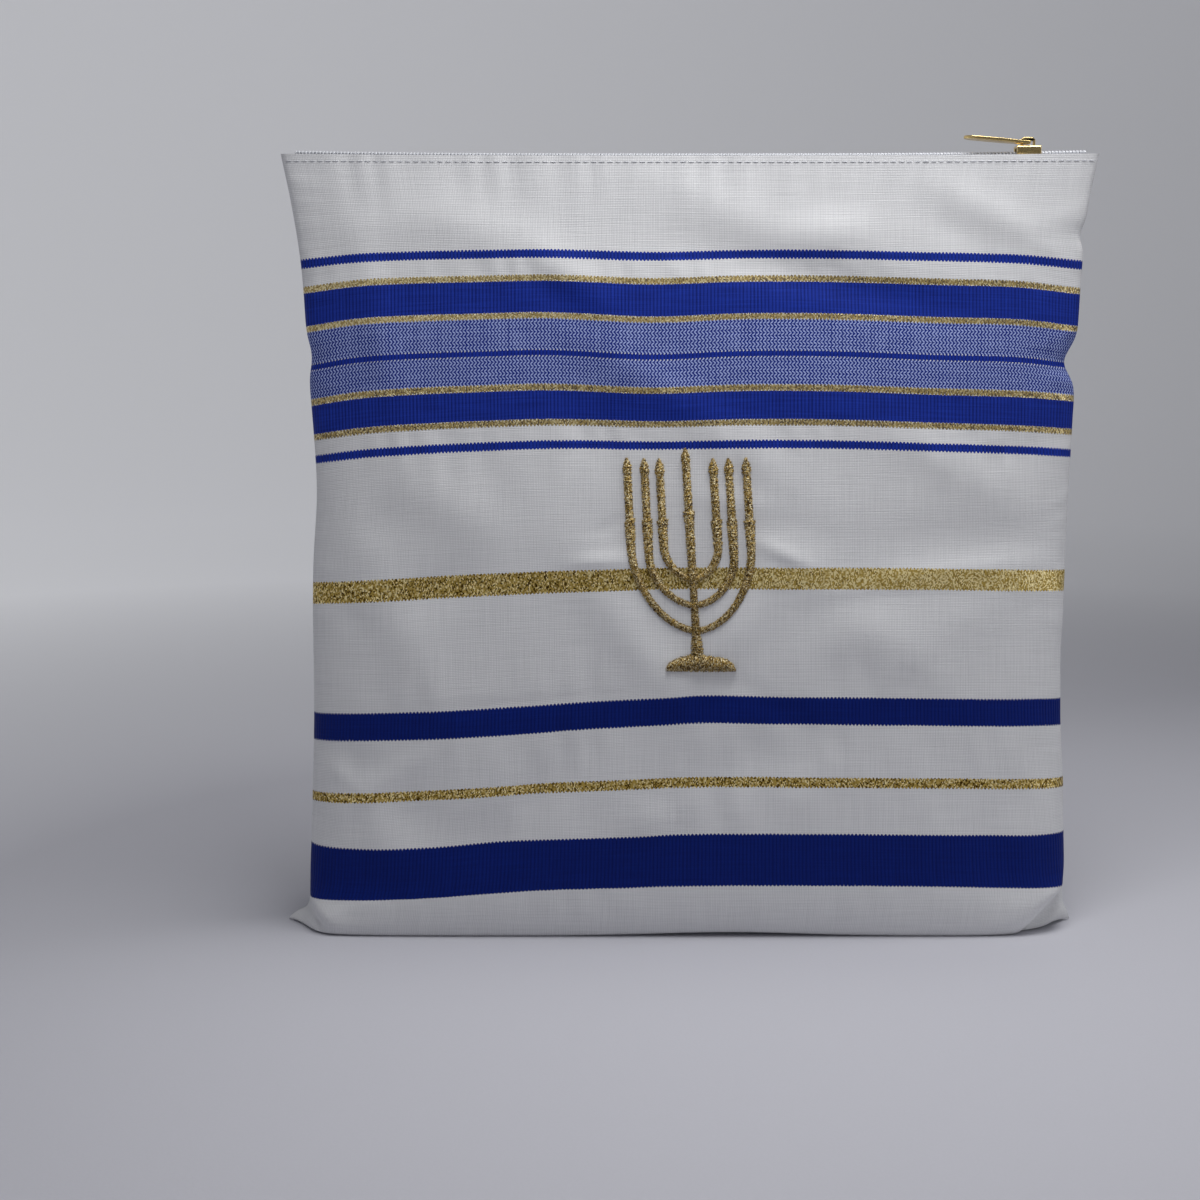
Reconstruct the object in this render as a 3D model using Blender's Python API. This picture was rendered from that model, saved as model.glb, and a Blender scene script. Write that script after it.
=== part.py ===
"""A tallit bag: a pouch of striped cloth with a zip along its top, filled out and standing on its base.

A front and a back panel are sewn together down both sides and along the bottom, and a zip closes the top.
A seven-branched lampstand is embroidered on the front. The scene is in metres, +Z up, with the front
towards -Y and the origin in the middle of the underside. The tables and sizes below are in millimetres.

A panel is worked out in the cloth's own coordinates: `across` runs from -1 at the left side seam to 1 at
the right one, and `cloth` is the height up the cloth from the bottom seam. The middle of a panel first
runs forwards under the bag, then turns up and leans back to the zip, as MIDDLE says. SEAMS says where its
two side seams run, and each row between them is a rounded rectangle, flattest at the base.
"""

from collections import namedtuple
from math import cos, pi, radians, sin

import bmesh
import bpy
import numpy as np
from mathutils import Matrix, Vector

MM = 0.001
FRONT = -1
BACK = 1

WALL = 1.2  # cloth, with its turned-in edges
SEAM_GAP = 0.15  # each panel stops this far from the seam's own plane
CLOTH_HEIGHT = 317.0  # from the bottom seam to the fold at the zip
HALF_CLOTH_WIDTH = 153.0
CENTRE_SHIFT = 1.85  # moves the bag, whose two bottom corners differ, to the middle of its box

# The middle of a panel, from the bottom seam up: how far it stands out, and how high.
Middle = namedtuple("Middle", "cloth depth height")
MIDDLE = (
    Middle(0.0, SEAM_GAP, 0.0),
    Middle(10.0, 10.0, 0.0),
    Middle(20.0, 19.8, 0.0),
    Middle(24.0, 22.0, 3.3),
    Middle(29.0, 23.4, 8.2),
    Middle(34.0, 24.3, 13.6),
    Middle(50.0, 25.2, 29.6),
    Middle(80.0, 25.6, 59.6),
    Middle(120.0, 25.0, 99.6),
    Middle(160.0, 23.3, 139.5),
    Middle(200.0, 20.5, 179.4),
    Middle(240.0, 16.7, 219.2),
    Middle(275.0, 12.4, 253.9),
    Middle(300.0, 9.2, 278.7),
    Middle(CLOTH_HEIGHT, 7.5, 295.5),
)

# The side seams: where each lies, how square the row between them is, and how sharply the row bends
# away from the middle's height to the seam's. The lowest rows make the two corners' ears, where the row
# thins to its seam over the ear's length.
Seam = namedtuple(
    "Seam", "cloth left left_height right right_height square left_ease right_ease left_ear right_ear"
)
SEAMS = (
    Seam(0.0, 157.0, 0.6, 152.2, 0.6, 9.0, 12.0, 12.0, 14.0, 30.0),
    Seam(14.0, 156.6, 1.4, 152.0, 1.4, 9.0, 12.0, 12.0, 13.0, 27.0),
    Seam(22.0, 153.4, 4.0, 151.2, 3.8, 9.0, 10.0, 10.0, 10.0, 22.0),
    Seam(30.0, 149.6, 6.2, 149.6, 7.4, 6.0, 6.0, 8.0, 6.0, 14.0),
    Seam(43.0, 148.2, 12.6, 148.8, 16.0, 4.0, 2.0, 4.0, 1.5, 3.0),
    Seam(62.0, 147.0, 32.3, 147.6, 36.8, 3.4, 1.5, 3.0, 0.5, 0.5),
    Seam(82.0, 146.2, 51.6, 147.0, 57.0, 3.0, 1.4, 3.0, 0.5, 0.5),
    Seam(115.0, 145.0, 84.9, 145.1, 89.6, 2.8, 1.4, 3.0, 0.5, 0.5),
    Seam(160.0, 144.6, 131.0, 145.1, 136.2, 2.6, 1.6, 3.0, 0.5, 0.5),
    Seam(210.0, 142.8, 182.6, 146.0, 184.7, 2.5, 2.6, 3.0, 0.5, 0.5),
    Seam(245.0, 144.6, 219.6, 147.0, 220.4, 2.5, 3.6, 3.6, 0.5, 0.5),
    Seam(280.0, 146.4, 256.0, 148.0, 256.0, 2.5, 4.0, 4.0, 0.5, 0.5),
    Seam(300.0, 149.4, 277.8, 149.6, 278.2, 2.5, 4.0, 4.0, 0.5, 0.5),
    Seam(CLOTH_HEIGHT, 153.0, 296.6, 152.8, 296.8, 2.5, 3.0, 3.0, 0.5, 0.5),
)

# Where a side seam is drawn in, at a height and over a reach.
Dent = namedtuple("Dent", "side height inwards reach")
DENTS = (
    Dent(-1, 222.0, 1.6, 7.0),
    Dent(-1, 168.0, 0.8, 16.0),
    Dent(1, 267.0, 1.8, 4.5),
    Dent(1, 220.0, 5.0, 7.0),
    Dent(1, 108.0, 0.7, 12.0),
)

# Soft folds, each a long low rise (or a trough, where `rise` is below 0) centred at x and height, with its
# length turned up from level by `turn` degrees.
Fold = namedtuple("Fold", "x height turn length width rise")
FRONT_FOLDS = (
    Fold(-115.0, 270.0, 12.0, 22.0, 11.5, 1.4),
    Fold(146.0, 270.0, -11.0, 14.0, 9.1, 1.8),
    Fold(52.0, 267.0, 3.0, 16.0, 8.2, 1.4),
    Fold(-75.0, 266.0, -28.0, 50.0, 11.2, 1.4),
    Fold(51.0, 250.0, -13.0, 51.0, 7.6, -1.8),
    Fold(-119.0, 237.0, -77.0, 43.0, 7.9, 2.2),
    Fold(-37.0, 196.0, -71.0, 19.0, 11.5, -1.6),
    Fold(99.0, 181.0, -29.0, 36.0, 8.9, 1.6),
    Fold(-91.0, 167.0, -31.0, 24.0, 11.5, 1.8),
    Fold(119.0, 154.0, 1.0, 49.0, 9.3, -1.7),
    Fold(-95.0, 135.0, 22.0, 15.0, 8.6, -1.5),
    Fold(119.0, 134.0, 31.0, 40.0, 11.5, 1.4),
    Fold(-116.0, 130.0, -62.0, 56.0, 11.5, 1.9),
    Fold(76.0, 114.0, -30.0, 21.0, 11.5, 2.0),
    Fold(29.0, 72.0, 14.0, 26.0, 11.5, -1.6),
    Fold(-57.0, 56.0, 50.0, 40.0, 11.5, -1.9),
    Fold(-134.0, 55.0, -47.0, 37.0, 11.5, 1.6),
    Fold(-88.0, 42.0, -17.0, 26.0, 11.5, -1.3),
    Fold(123.0, 24.0, -63.0, 56.0, 9.5, -1.5),
)
BACK_FOLDS = (
    Fold(-58.0, 264.0, 22.0, 58.0, 13.0, 2.2),
    Fold(-74.0, 236.0, 18.0, 52.0, 13.0, -1.8),
    Fold(56.0, 258.0, -16.0, 56.0, 14.0, 1.8),
    Fold(30.0, 214.0, -6.0, 40.0, 11.0, -1.8),
    Fold(-96.0, 160.0, 32.0, 50.0, 10.0, 2.0),
    Fold(20.0, 170.0, 10.0, 70.0, 14.0, 1.4),
    Fold(84.0, 130.0, -26.0, 54.0, 11.0, -1.6),
    Fold(-20.0, 96.0, -8.0, 60.0, 14.0, 1.2),
    Fold(96.0, 58.0, -12.0, 36.0, 12.0, 1.3),
)
FOLDS = {FRONT: FRONT_FOLDS, BACK: BACK_FOLDS}

# Where the lower front edge is raised off what the bag stands on.
LIFT_X = 16.0
LIFT_REACH = 42.0
LIFT = 2.3

# A panel's grid: rows crowd at the base and columns at the side seams.
BASE_ROWS = (0.0, 7.0, 14.0, 20.0, 24.0, 29.0, 34.0, 40.0, 46.0)
ROWS_ABOVE = 34
COLUMNS = 40
EDGE_CROWDING = 0.15
ROUND_SAMPLES = 240

# Embroidery, in its own plane: from the middle of its foot's lower edge, in the cloth's coordinates.
EMBROIDERY_X = 3.6
EMBROIDERY_CLOTH = 125.4
EMBROIDERY_LEAN = 3.7  # degrees, to the left
EMBROIDERY_SLOPE = -0.0215  # how steeply the foot's lower edge climbs across the cloth
EMBROIDERY_TWIST = 0.0003  # and how much steeper each millimetre above it does
THREAD_RISE = 1.1
THREAD_GAP = 0.4
ARM_WIDTH = 3.0
ARC_WIDTH = 2.4
ARC_ROUND = 1.8
CANDLE_WIDTH = 2.8
CUP_TOP = 56.7
CUP_WIDTH = 3.8
CUP_LENGTH = 8.0
FLAME_WIDTH = 3.3
FLAME_LENGTH = 6.4
CENTRE_TIP = 83.6
CENTRE_CUP_TOP = 59.8
STROKE_STEP = 4.0
Arm = namedtuple("Arm", "half_width top depth tip")
ARMS = (
    Arm(10.2, 46.5, 11.8, 79.7),
    Arm(16.0, 43.0, 18.2, 79.8),
    Arm(22.6, 46.0, 30.7, 80.0),
)
# The stem's width at each height, with a bell above the foot and one where the inner arms leave it.
Stem = namedtuple("Stem", "height width")
STEM = (
    Stem(4.4, 4.3),
    Stem(9.3, 4.0),
    Stem(12.5, 3.3),
    Stem(16.0, 2.8),
    Stem(24.0, 2.6),
    Stem(32.6, 2.6),
    Stem(34.9, 4.4),
    Stem(37.2, 3.3),
    Stem(40.0, 2.8),
)
# The foot's lower and upper edge at each place across it.
Foot = namedtuple("Foot", "x low high")
FOOT = (
    Foot(-12.2, 0.0, 1.4),
    Foot(-11.2, 0.0, 2.9),
    Foot(-9.5, 0.0, 4.1),
    Foot(-6.5, 0.0, 5.2),
    Foot(-3.2, 0.0, 6.1),
    Foot(-0.5, 0.0, 6.9),
    Foot(3.1, 0.0, 6.0),
    Foot(6.9, 0.0, 5.5),
    Foot(10.4, 0.0, 5.1),
    Foot(12.6, 0.0, 3.6),
    Foot(14.2, 0.0, 1.0),
)

# Zip: two tapes just inside the panels' top folds, with the slider closed at the right-hand end.
TAPE_GAP = 0.3
TAPE_THICK = 1.0
TAPE_SUNK = 0.4
TAPE_END = 0.965
SLIDER_X = 126.0
SLIDER_LENGTH = 9.0
SLIDER_WIDTH = 6.6
SLIDER_LIFT = 0.3
SLIDER_HEIGHT = 3.4
SLIDER_PLATE = 0.9
COIL_CHANNEL = 3.6
BRIDGE_LENGTH = 5.4
BRIDGE_HEIGHT = 3.2
BRIDGE_THICK = 0.8
BRIDGE_WIDTH = 1.6
PULL_LENGTH = 24.0
PULL_HALF_WIDTH = 4.2
PULL_NECK = 3.1
PULL_THICK = 1.1
PULL_SLOT_HALF = 1.4
PULL_SLOT_END = 4.4
PULL_SLOPE = 5.0  # degrees down from level at rest
PULL_AXIS_HEIGHT = 1.2  # above the slider's top

WHITE = (0.78, 0.79, 0.82)
GOLD_THREAD = (0.46, 0.36, 0.16)
TAPE_WHITE = (0.72, 0.73, 0.75)
BRASS = (0.66, 0.50, 0.22)


def clear_scene():
    for item in list(bpy.data.objects):
        bpy.data.objects.remove(item, do_unlink=True)


def material(name, colour, roughness, metallic=0.0):
    made = bpy.data.materials.new(name)
    made.use_nodes = True
    made.diffuse_color = (*colour, 1.0)
    shader = made.node_tree.nodes["Principled BSDF"]
    shader.inputs["Base Color"].default_value = (*colour, 1.0)
    shader.inputs["Roughness"].default_value = roughness
    shader.inputs["Metallic"].default_value = metallic
    return made


def add_object(name, mesh, finish):
    placed = bpy.data.objects.new(name, mesh)
    bpy.context.scene.collection.objects.link(placed)
    placed.data.materials.append(finish)
    return placed


def mesh_from(name, points, faces):
    """A closed mesh with its faces pointing out; points are in millimetres."""
    work = bmesh.new()
    corners = [work.verts.new(Vector(point) * MM) for point in points]
    for face in faces:
        work.faces.new([corners[index] for index in face])
    bmesh.ops.recalc_face_normals(work, faces=work.faces)
    mesh = bpy.data.meshes.new(name)
    work.to_mesh(mesh)
    work.free()
    return mesh


def read_table(rows, column, at):
    """The value of a table's column at a height up the cloth, on a smooth curve that never overshoots."""
    known = np.array([row[0] for row in rows])
    values = np.array([getattr(row, column) for row in rows])
    steps = np.diff(known)
    slopes = np.diff(values) / steps
    tangents = np.concatenate(([slopes[0]], (slopes[1:] + slopes[:-1]) / 2, [slopes[-1]]))
    turning = slopes[1:] * slopes[:-1] <= 0
    tangents[1:-1][turning] = 0.0
    limit = 3 * np.minimum(np.abs(np.append(slopes, slopes[-1])), np.abs(np.insert(slopes, 0, slopes[0])))
    tangents = np.clip(tangents, -limit, limit)
    place = int(np.clip(np.searchsorted(known, at) - 1, 0, len(steps) - 1))
    t = (at - known[place]) / steps[place]
    rise = (1 - t) ** 2 * (1 + 2 * t) * values[place] + t**2 * (3 - 2 * t) * values[place + 1]
    bend = t * (1 - t) ** 2 * tangents[place] - t**2 * (1 - t) * tangents[place + 1]
    return rise + bend * steps[place]


def rounded_row(across, width, depth, square, ear):
    """Shares of a row's half width and depth at `across`, evenly spaced along the cloth."""
    turn = np.linspace(0.0, pi / 2, ROUND_SAMPLES)
    out = np.sin(turn) ** (2 / square)
    deep = np.cos(turn) ** (2 / square)
    deep[-1] = 0.0
    from_seam = (1 - out) * width / ear
    deep *= from_seam / (1 + from_seam**6) ** (1 / 6)
    length = np.concatenate(([0.0], np.cumsum(np.hypot(np.diff(out) * width, np.diff(deep) * depth))))
    place = np.abs(across) * length[-1]
    return np.sign(across) * np.interp(place, length, out), np.interp(place, length, deep)


def fold_rise(side, x, height):
    """How far the soft folds stand out at a place on a panel."""
    total = np.zeros_like(x)
    for fold in FOLDS[side]:
        turn = radians(fold.turn)
        along = (x - fold.x) * cos(turn) + (height - fold.height) * sin(turn)
        beside = (height - fold.height) * cos(turn) - (x - fold.x) * sin(turn)
        total += fold.rise * np.exp(-((along / fold.length) ** 2) - (beside / fold.width) ** 2)
    return total


def dent_depth(seam_side, height):
    """How far a side seam is drawn in at a height."""
    total = np.zeros_like(height)
    for dent in DENTS:
        here = dent.inwards * np.exp(-(((height - dent.height) / dent.reach) ** 2))
        total += np.where(seam_side == dent.side, here, 0.0)
    return total


def panel_row(side, across, cloth, inset=0.0):
    """One row of a panel's points, in millimetres: its outer face, or a face `inset` further in."""
    across = np.asarray(across, float)
    ahead = cloth + 0.5
    behind = cloth - 0.5
    if ahead > CLOTH_HEIGHT or behind < 0:
        ahead, behind = min(ahead, CLOTH_HEIGHT), max(behind, 0.0)
    forwards = read_table(MIDDLE, "depth", ahead) - read_table(MIDDLE, "depth", behind)
    upwards = read_table(MIDDLE, "height", ahead) - read_table(MIDDLE, "height", behind)
    run = np.hypot(forwards, upwards)
    inwards_back, inwards_up = upwards / run, forwards / run

    depth = read_table(MIDDLE, "depth", cloth)
    middle_height = read_table(MIDDLE, "height", cloth)
    left = across < 0
    width = np.where(left, read_table(SEAMS, "left", cloth), read_table(SEAMS, "right", cloth))
    seam_height = np.where(
        left, read_table(SEAMS, "left_height", cloth), read_table(SEAMS, "right_height", cloth)
    )
    ease = np.where(left, read_table(SEAMS, "left_ease", cloth), read_table(SEAMS, "right_ease", cloth))
    square = read_table(SEAMS, "square", cloth)

    rounded = []
    for end in ("left", "right"):
        half_width, ear_length = read_table(SEAMS, end, cloth), read_table(SEAMS, end + "_ear", cloth)
        rounded.append(rounded_row(across, half_width, depth, square, ear_length))
    out_share, depth_share = (np.where(left, *shares) for shares in zip(*rounded))
    height = middle_height + (seam_height - middle_height) * np.abs(across) ** ease
    ear = inset * (1.0 + 1.4 * inwards_up)
    drawn_in = dent_depth(np.where(left, -1, 1), height) * np.abs(across) ** 8
    x = out_share * (width - ear) - np.sign(across) * drawn_in
    deep = SEAM_GAP + max(depth - SEAM_GAP - inset * inwards_back, 0.0) * depth_share

    upright = np.clip((cloth - 30.0) / 30.0, 0.0, 1.0) * np.clip((CLOTH_HEIGHT - cloth) / 25.0, 0.0, 1.0)
    deep = deep + fold_rise(side, x, height) * depth_share**2 * upright
    if side == FRONT:
        lifted = LIFT * np.exp(-(((x - LIFT_X) / LIFT_REACH) ** 2)) * np.clip(cloth / 20.0, 0.0, 1.0)
        height = height + lifted * np.exp(-((cloth / 26.0) ** 4))
    return np.stack([x + CENTRE_SHIFT, side * deep, height + inset * inwards_up], axis=-1)


def panel_rows():
    above = np.linspace(BASE_ROWS[-1], CLOTH_HEIGHT, ROWS_ABOVE + 1)[1:]
    return list(BASE_ROWS) + list(above)


def panel_columns():
    even = np.linspace(-1.0, 1.0, COLUMNS + 1)
    return even * (1 + EDGE_CROWDING - EDGE_CROWDING * even**2)


def panel_mesh(side, name):
    """A wall of cloth: an outer and an inner grid, joined round their edges."""
    columns = panel_columns()
    rows = panel_rows()
    grids = [np.array([panel_row(side, columns, row, inset) for row in rows]) for inset in (0.0, WALL)]
    points = [tuple(point) for grid in grids for point in grid.reshape(-1, 3)]
    across = len(columns)
    layer = len(rows) * across

    def at(row, column, inner=0):
        return inner * layer + row * across + column

    faces = []
    for row in range(len(rows) - 1):
        for column in range(across - 1):
            for inner in (0, 1):
                ring = [
                    at(row, column, inner),
                    at(row, column + 1, inner),
                    at(row + 1, column + 1, inner),
                    at(row + 1, column, inner),
                ]
                faces.append(ring if inner else ring[::-1])
    edge = [(0, column) for column in range(across)]
    edge += [(row, across - 1) for row in range(1, len(rows))]
    edge += [(len(rows) - 1, column) for column in range(across - 2, -1, -1)]
    edge += [(row, 0) for row in range(len(rows) - 2, 0, -1)]
    for here, there in zip(edge, edge[1:] + edge[:1]):
        faces.append([at(*here), at(*there), at(*there, 1), at(*here, 1)])
    return mesh_from(name, points, faces)


def make_panels(cloth_finish):
    for side, name in ((FRONT, "front_panel"), (BACK, "back_panel")):
        panel = add_object(name, panel_mesh(side, name), cloth_finish)
        panel.data.shade_smooth()
        panel.data.set_sharp_from_angle(angle=radians(60))


def stroke(points, widths):
    """The outline of a stroke of thread: a closed ring round a path, as wide as `widths` say."""
    path = np.array(points, float)
    direction = np.gradient(path, axis=0)
    direction /= np.linalg.norm(direction, axis=1)[:, None]
    aside = np.stack([-direction[:, 1], direction[:, 0]], axis=1) * np.array(widths)[:, None] / 2
    return np.concatenate([path + aside, (path - aside)[::-1]])


def arm_outline(arm):
    """One pair of arms: two upright candles joined by a rounded arc that hangs from them."""
    steps = max(8, int(pi * arm.half_width / STROKE_STEP))
    angles = np.linspace(0.0, pi, steps + 1)[1:-1]
    low = np.sin(angles) ** (2 / ARC_ROUND)
    out = -np.sign(np.cos(angles)) * np.abs(np.cos(angles)) ** (2 / ARC_ROUND)
    curve = list(zip(arm.half_width * out, arm.top - arm.depth * low))
    heights, widths = candle_profile(arm.top, CUP_TOP, arm.tip)
    left = [(-arm.half_width, height) for height in heights[::-1]]
    right = [(arm.half_width, height) for height in heights]
    spread = list(ARM_WIDTH + (ARC_WIDTH - ARM_WIDTH) * low)
    return stroke(left + curve + right, widths[::-1] + spread + widths)


def candle_profile(base, cup_top, tip):
    """Heights up a candle and its width at each: its cup, its plain part and a flame that ends in a point."""
    rows = [
        (base, ARM_WIDTH),
        (cup_top - CUP_LENGTH, ARM_WIDTH * 1.05),
        (cup_top - 0.6, CUP_WIDTH),
        (cup_top + 0.6, CANDLE_WIDTH),
        (tip - FLAME_LENGTH, CANDLE_WIDTH * 0.93),
        (tip - FLAME_LENGTH * 0.7, FLAME_WIDTH),
        (tip - FLAME_LENGTH * 0.3, FLAME_WIDTH * 0.62),
        (tip, 0.6),
    ]
    return [row[0] for row in rows], [row[1] for row in rows]


def stem_outline():
    """The stem, from inside the foot to the middle flame."""
    heights, widths = candle_profile(STEM[-1].height + STROKE_STEP, CENTRE_CUP_TOP, CENTRE_TIP)
    heights = [row.height for row in STEM] + heights
    widths = [row.width for row in STEM] + widths
    return stroke([(0.0, height) for height in heights], widths)


def foot_outline():
    return np.array([(row.x, row.low) for row in FOOT] + [(row.x, row.high) for row in FOOT[::-1]])


def slab(outline, name):
    """A flat closed slab from an outline, one unit thick."""
    count = len(outline)
    points = [(x, y, 0.0) for x, y in outline] + [(x, y, 1.0) for x, y in outline]
    half = count // 2
    faces = []
    for low in (0, count):
        for step in range(half - 1):
            ring = [low + step, low + step + 1, low + count - 2 - step, low + count - 1 - step]
            faces.append(ring)
    for step in range(count):
        there = (step + 1) % count
        faces.append([step, there, count + there, count + step])
    return mesh_from(name, points, faces)


def embroidery_place(x, y, rise):
    """A point of the embroidery's own plane, laid on the front panel and moved out from it by `rise`."""
    lean = radians(EMBROIDERY_LEAN)
    aside = EMBROIDERY_X + x * cos(lean) - y * sin(lean)
    cloth = EMBROIDERY_CLOTH + x * (EMBROIDERY_SLOPE + EMBROIDERY_TWIST * y) + y * cos(lean)
    across = aside / HALF_CLOTH_WIDTH
    here, beside = panel_row(FRONT, [across, across + 0.01], cloth)
    above = panel_row(FRONT, [across], cloth + 1.5)[0]
    out = np.cross(beside - here, above - here)
    return here + out / np.linalg.norm(out) * rise


def make_embroidery(finish):
    """The lampstand in one piece: its strokes are joined flat, then laid on the panel."""
    outlines = [foot_outline(), stem_outline()] + [arm_outline(arm) for arm in ARMS]
    pieces = []
    for number, outline in enumerate(outlines):
        pieces.append(add_object(f"stroke_{number}", slab(outline, f"stroke_{number}"), finish))
    whole = pieces[0]
    for number, piece in enumerate(pieces[1:]):
        join = whole.modifiers.new(f"join_{number}", "BOOLEAN")
        join.operation = "UNION"
        join.solver = "EXACT"
        join.object = piece
    shape = bpy.data.meshes.new_from_object(whole.evaluated_get(bpy.context.evaluated_depsgraph_get()))
    for piece in pieces:
        bpy.data.objects.remove(piece, do_unlink=True)
    for corner in shape.vertices:
        x, y, level = corner.co / MM
        rise = THREAD_GAP + THREAD_RISE * round(level)
        corner.co = Vector(embroidery_place(x, y, rise)) * MM
    work = bmesh.new()
    work.from_mesh(shape)
    bmesh.ops.triangulate(work, faces=work.faces)
    bmesh.ops.recalc_face_normals(work, faces=work.faces)
    work.to_mesh(shape)
    work.free()
    shape.name = "menorah_embroidery"
    placed = add_object("menorah_embroidery", shape, finish)
    placed.data.shade_flat()


def tape_mesh(side, name):
    """One zip tape: a flat strip from the panel's top fold to the middle of the bag."""
    columns = [column for column in panel_columns() if abs(column) < TAPE_END]
    wall = panel_row(side, columns, CLOTH_HEIGHT, WALL)
    points = []
    for x, y, height in wall:
        top = height - TAPE_SUNK
        outer = side * max(abs(y) - TAPE_GAP, SEAM_GAP + 0.6)
        inner = side * SEAM_GAP
        low = top - TAPE_THICK
        points += [(x, outer, top), (x, inner, top), (x, inner, low), (x, outer, low)]
    faces = []
    last = (len(columns) - 1) * 4
    for base in range(0, last, 4):
        for corner in range(4):
            there = (corner + 1) % 4
            faces.append([base + corner, base + there, base + 4 + there, base + 4 + corner])
    faces += [[3, 2, 1, 0], [last, last + 1, last + 2, last + 3]]
    return mesh_from(name, points, faces)


def tape_top():
    """The height of the tapes' upper face where the slider sits."""
    across = SLIDER_X / HALF_CLOTH_WIDTH
    return float(panel_row(FRONT, [across], CLOTH_HEIGHT)[0][2]) - TAPE_SUNK


def extruded(name, outline, half_thickness, turn):
    """A closed slab: an outline in its own plane, thickened both ways and turned by a matrix."""
    count = len(outline)
    points = [turn @ Vector((a, b, -half_thickness)) for a, b in outline]
    points += [turn @ Vector((a, b, half_thickness)) for a, b in outline]
    faces = [list(range(count))[::-1], list(range(count, 2 * count))]
    for step in range(count):
        there = (step + 1) % count
        faces.append([step, there, count + there, count + step])
    return mesh_from(name, points, faces)


def make_slider(finish):
    """The slider: a channel over the zip's teeth, with a bridge on top that holds the pull tab."""
    base = tape_top() + SLIDER_LIFT
    top = SLIDER_HEIGHT
    half, inside = SLIDER_WIDTH / 2, COIL_CHANNEL / 2
    section = [
        (-half, 0.0), (-inside, 0.0), (-inside, top - SLIDER_PLATE), (inside, top - SLIDER_PLATE),
        (inside, 0.0), (half, 0.0), (half, top - 0.5), (half - 0.5, top), (-half + 0.5, top),
        (-half, top - 0.5),
    ]
    along_x = Matrix(((0, 0, 1), (1, 0, 0), (0, 1, 0)))
    body = add_object("zip_slider", extruded("zip_slider", section, SLIDER_LENGTH / 2, along_x), finish)

    reach, bar = BRIDGE_LENGTH / 2, BRIDGE_THICK
    peak = top + BRIDGE_HEIGHT
    sunk = top - 0.3
    arch = [
        (-reach, sunk), (-reach, peak - 0.9), (-reach + 0.9, peak), (reach - 0.9, peak),
        (reach, peak - 0.9), (reach, sunk), (reach - bar, sunk), (reach - bar, peak - bar),
        (-reach + bar, peak - bar), (-reach + bar, sunk),
    ]
    along_y = Matrix(((1, 0, 0), (0, 0, -1), (0, 1, 0)))
    bridge = add_object("slider_bridge", extruded("slider_bridge", arch, BRIDGE_WIDTH / 2, along_y), finish)
    bridge.hide_render = True
    bridge.display_type = "WIRE"
    bridge.parent = body

    join = body.modifiers.new("bridge", "BOOLEAN")
    join.operation = "UNION"
    join.solver = "EXACT"
    join.object = bridge
    body.location = Vector((SLIDER_X + CENTRE_SHIFT, 0.0, base)) * MM


def pull_outline():
    """The pull tab's edge, from its pivot bar to its round end."""
    bar = PULL_THICK / 2
    shoulder = PULL_LENGTH - PULL_HALF_WIDTH
    arc = [radians(angle) for angle in range(-75, 76, 15)]
    side = [(-bar, -PULL_NECK), (5.0, -PULL_NECK), (9.0, -PULL_HALF_WIDTH), (shoulder, -PULL_HALF_WIDTH)]
    end = [(shoulder + PULL_HALF_WIDTH * cos(angle), PULL_HALF_WIDTH * sin(angle)) for angle in arc]
    return side + end + [(along, -aside) for along, aside in side[::-1]]


def make_pull(finish):
    """The pull tab: its origin is on its pivot, and it lies along the zip, towards the left."""
    flat = Matrix.Identity(3)
    pull = add_object("zip_pull_tab", extruded("zip_pull_tab", pull_outline(), PULL_THICK / 2, flat), finish)
    bar = PULL_THICK / 2
    slot = [
        (bar, -PULL_SLOT_HALF), (PULL_SLOT_END, -PULL_SLOT_HALF),
        (PULL_SLOT_END, PULL_SLOT_HALF), (bar, PULL_SLOT_HALF),
    ]
    cutter = add_object("pull_slot_cutter", extruded("pull_slot_cutter", slot, PULL_THICK, flat), finish)
    cutter.hide_render = True
    cutter.display_type = "WIRE"
    cutter.parent = pull
    cut = pull.modifiers.new("slot", "BOOLEAN")
    cut.operation = "DIFFERENCE"
    cut.solver = "EXACT"
    cut.object = cutter
    height = tape_top() + SLIDER_LIFT + SLIDER_HEIGHT + PULL_AXIS_HEIGHT
    pull.location = Vector((SLIDER_X + CENTRE_SHIFT, 0.0, height)) * MM
    pull.rotation_euler = (0.0, radians(-PULL_SLOPE), pi)


def main():
    clear_scene()
    cloth = material("woven_cloth", WHITE, 0.8)
    make_panels(cloth)
    make_embroidery(material("gold_thread", GOLD_THREAD, 0.4, 0.6))
    tape = material("zip_tape", TAPE_WHITE, 0.8)
    for side, name in ((FRONT, "zip_tape_front"), (BACK, "zip_tape_back")):
        add_object(name, tape_mesh(side, name), tape)
    metal = material("zip_metal", BRASS, 0.3, 1.0)
    make_slider(metal)
    make_pull(metal)


main()
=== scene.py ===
"""The looks of a filled-out tallit bag: striped cloth panels, gold embroidery, a coil zip and the stage.

The cloth follows the same tables as the bag's solids, on a finer grid and with its small folds. Lengths in
the tables and in the functions on the form are in millimetres; a finished mesh is in metres.
"""

from collections import namedtuple
from math import cos, pi, radians, sin

import bmesh
import bpy
import numpy as np
from bpy.props import FloatProperty, FloatVectorProperty, IntProperty, PointerProperty
from mathutils import Matrix, Vector


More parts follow.
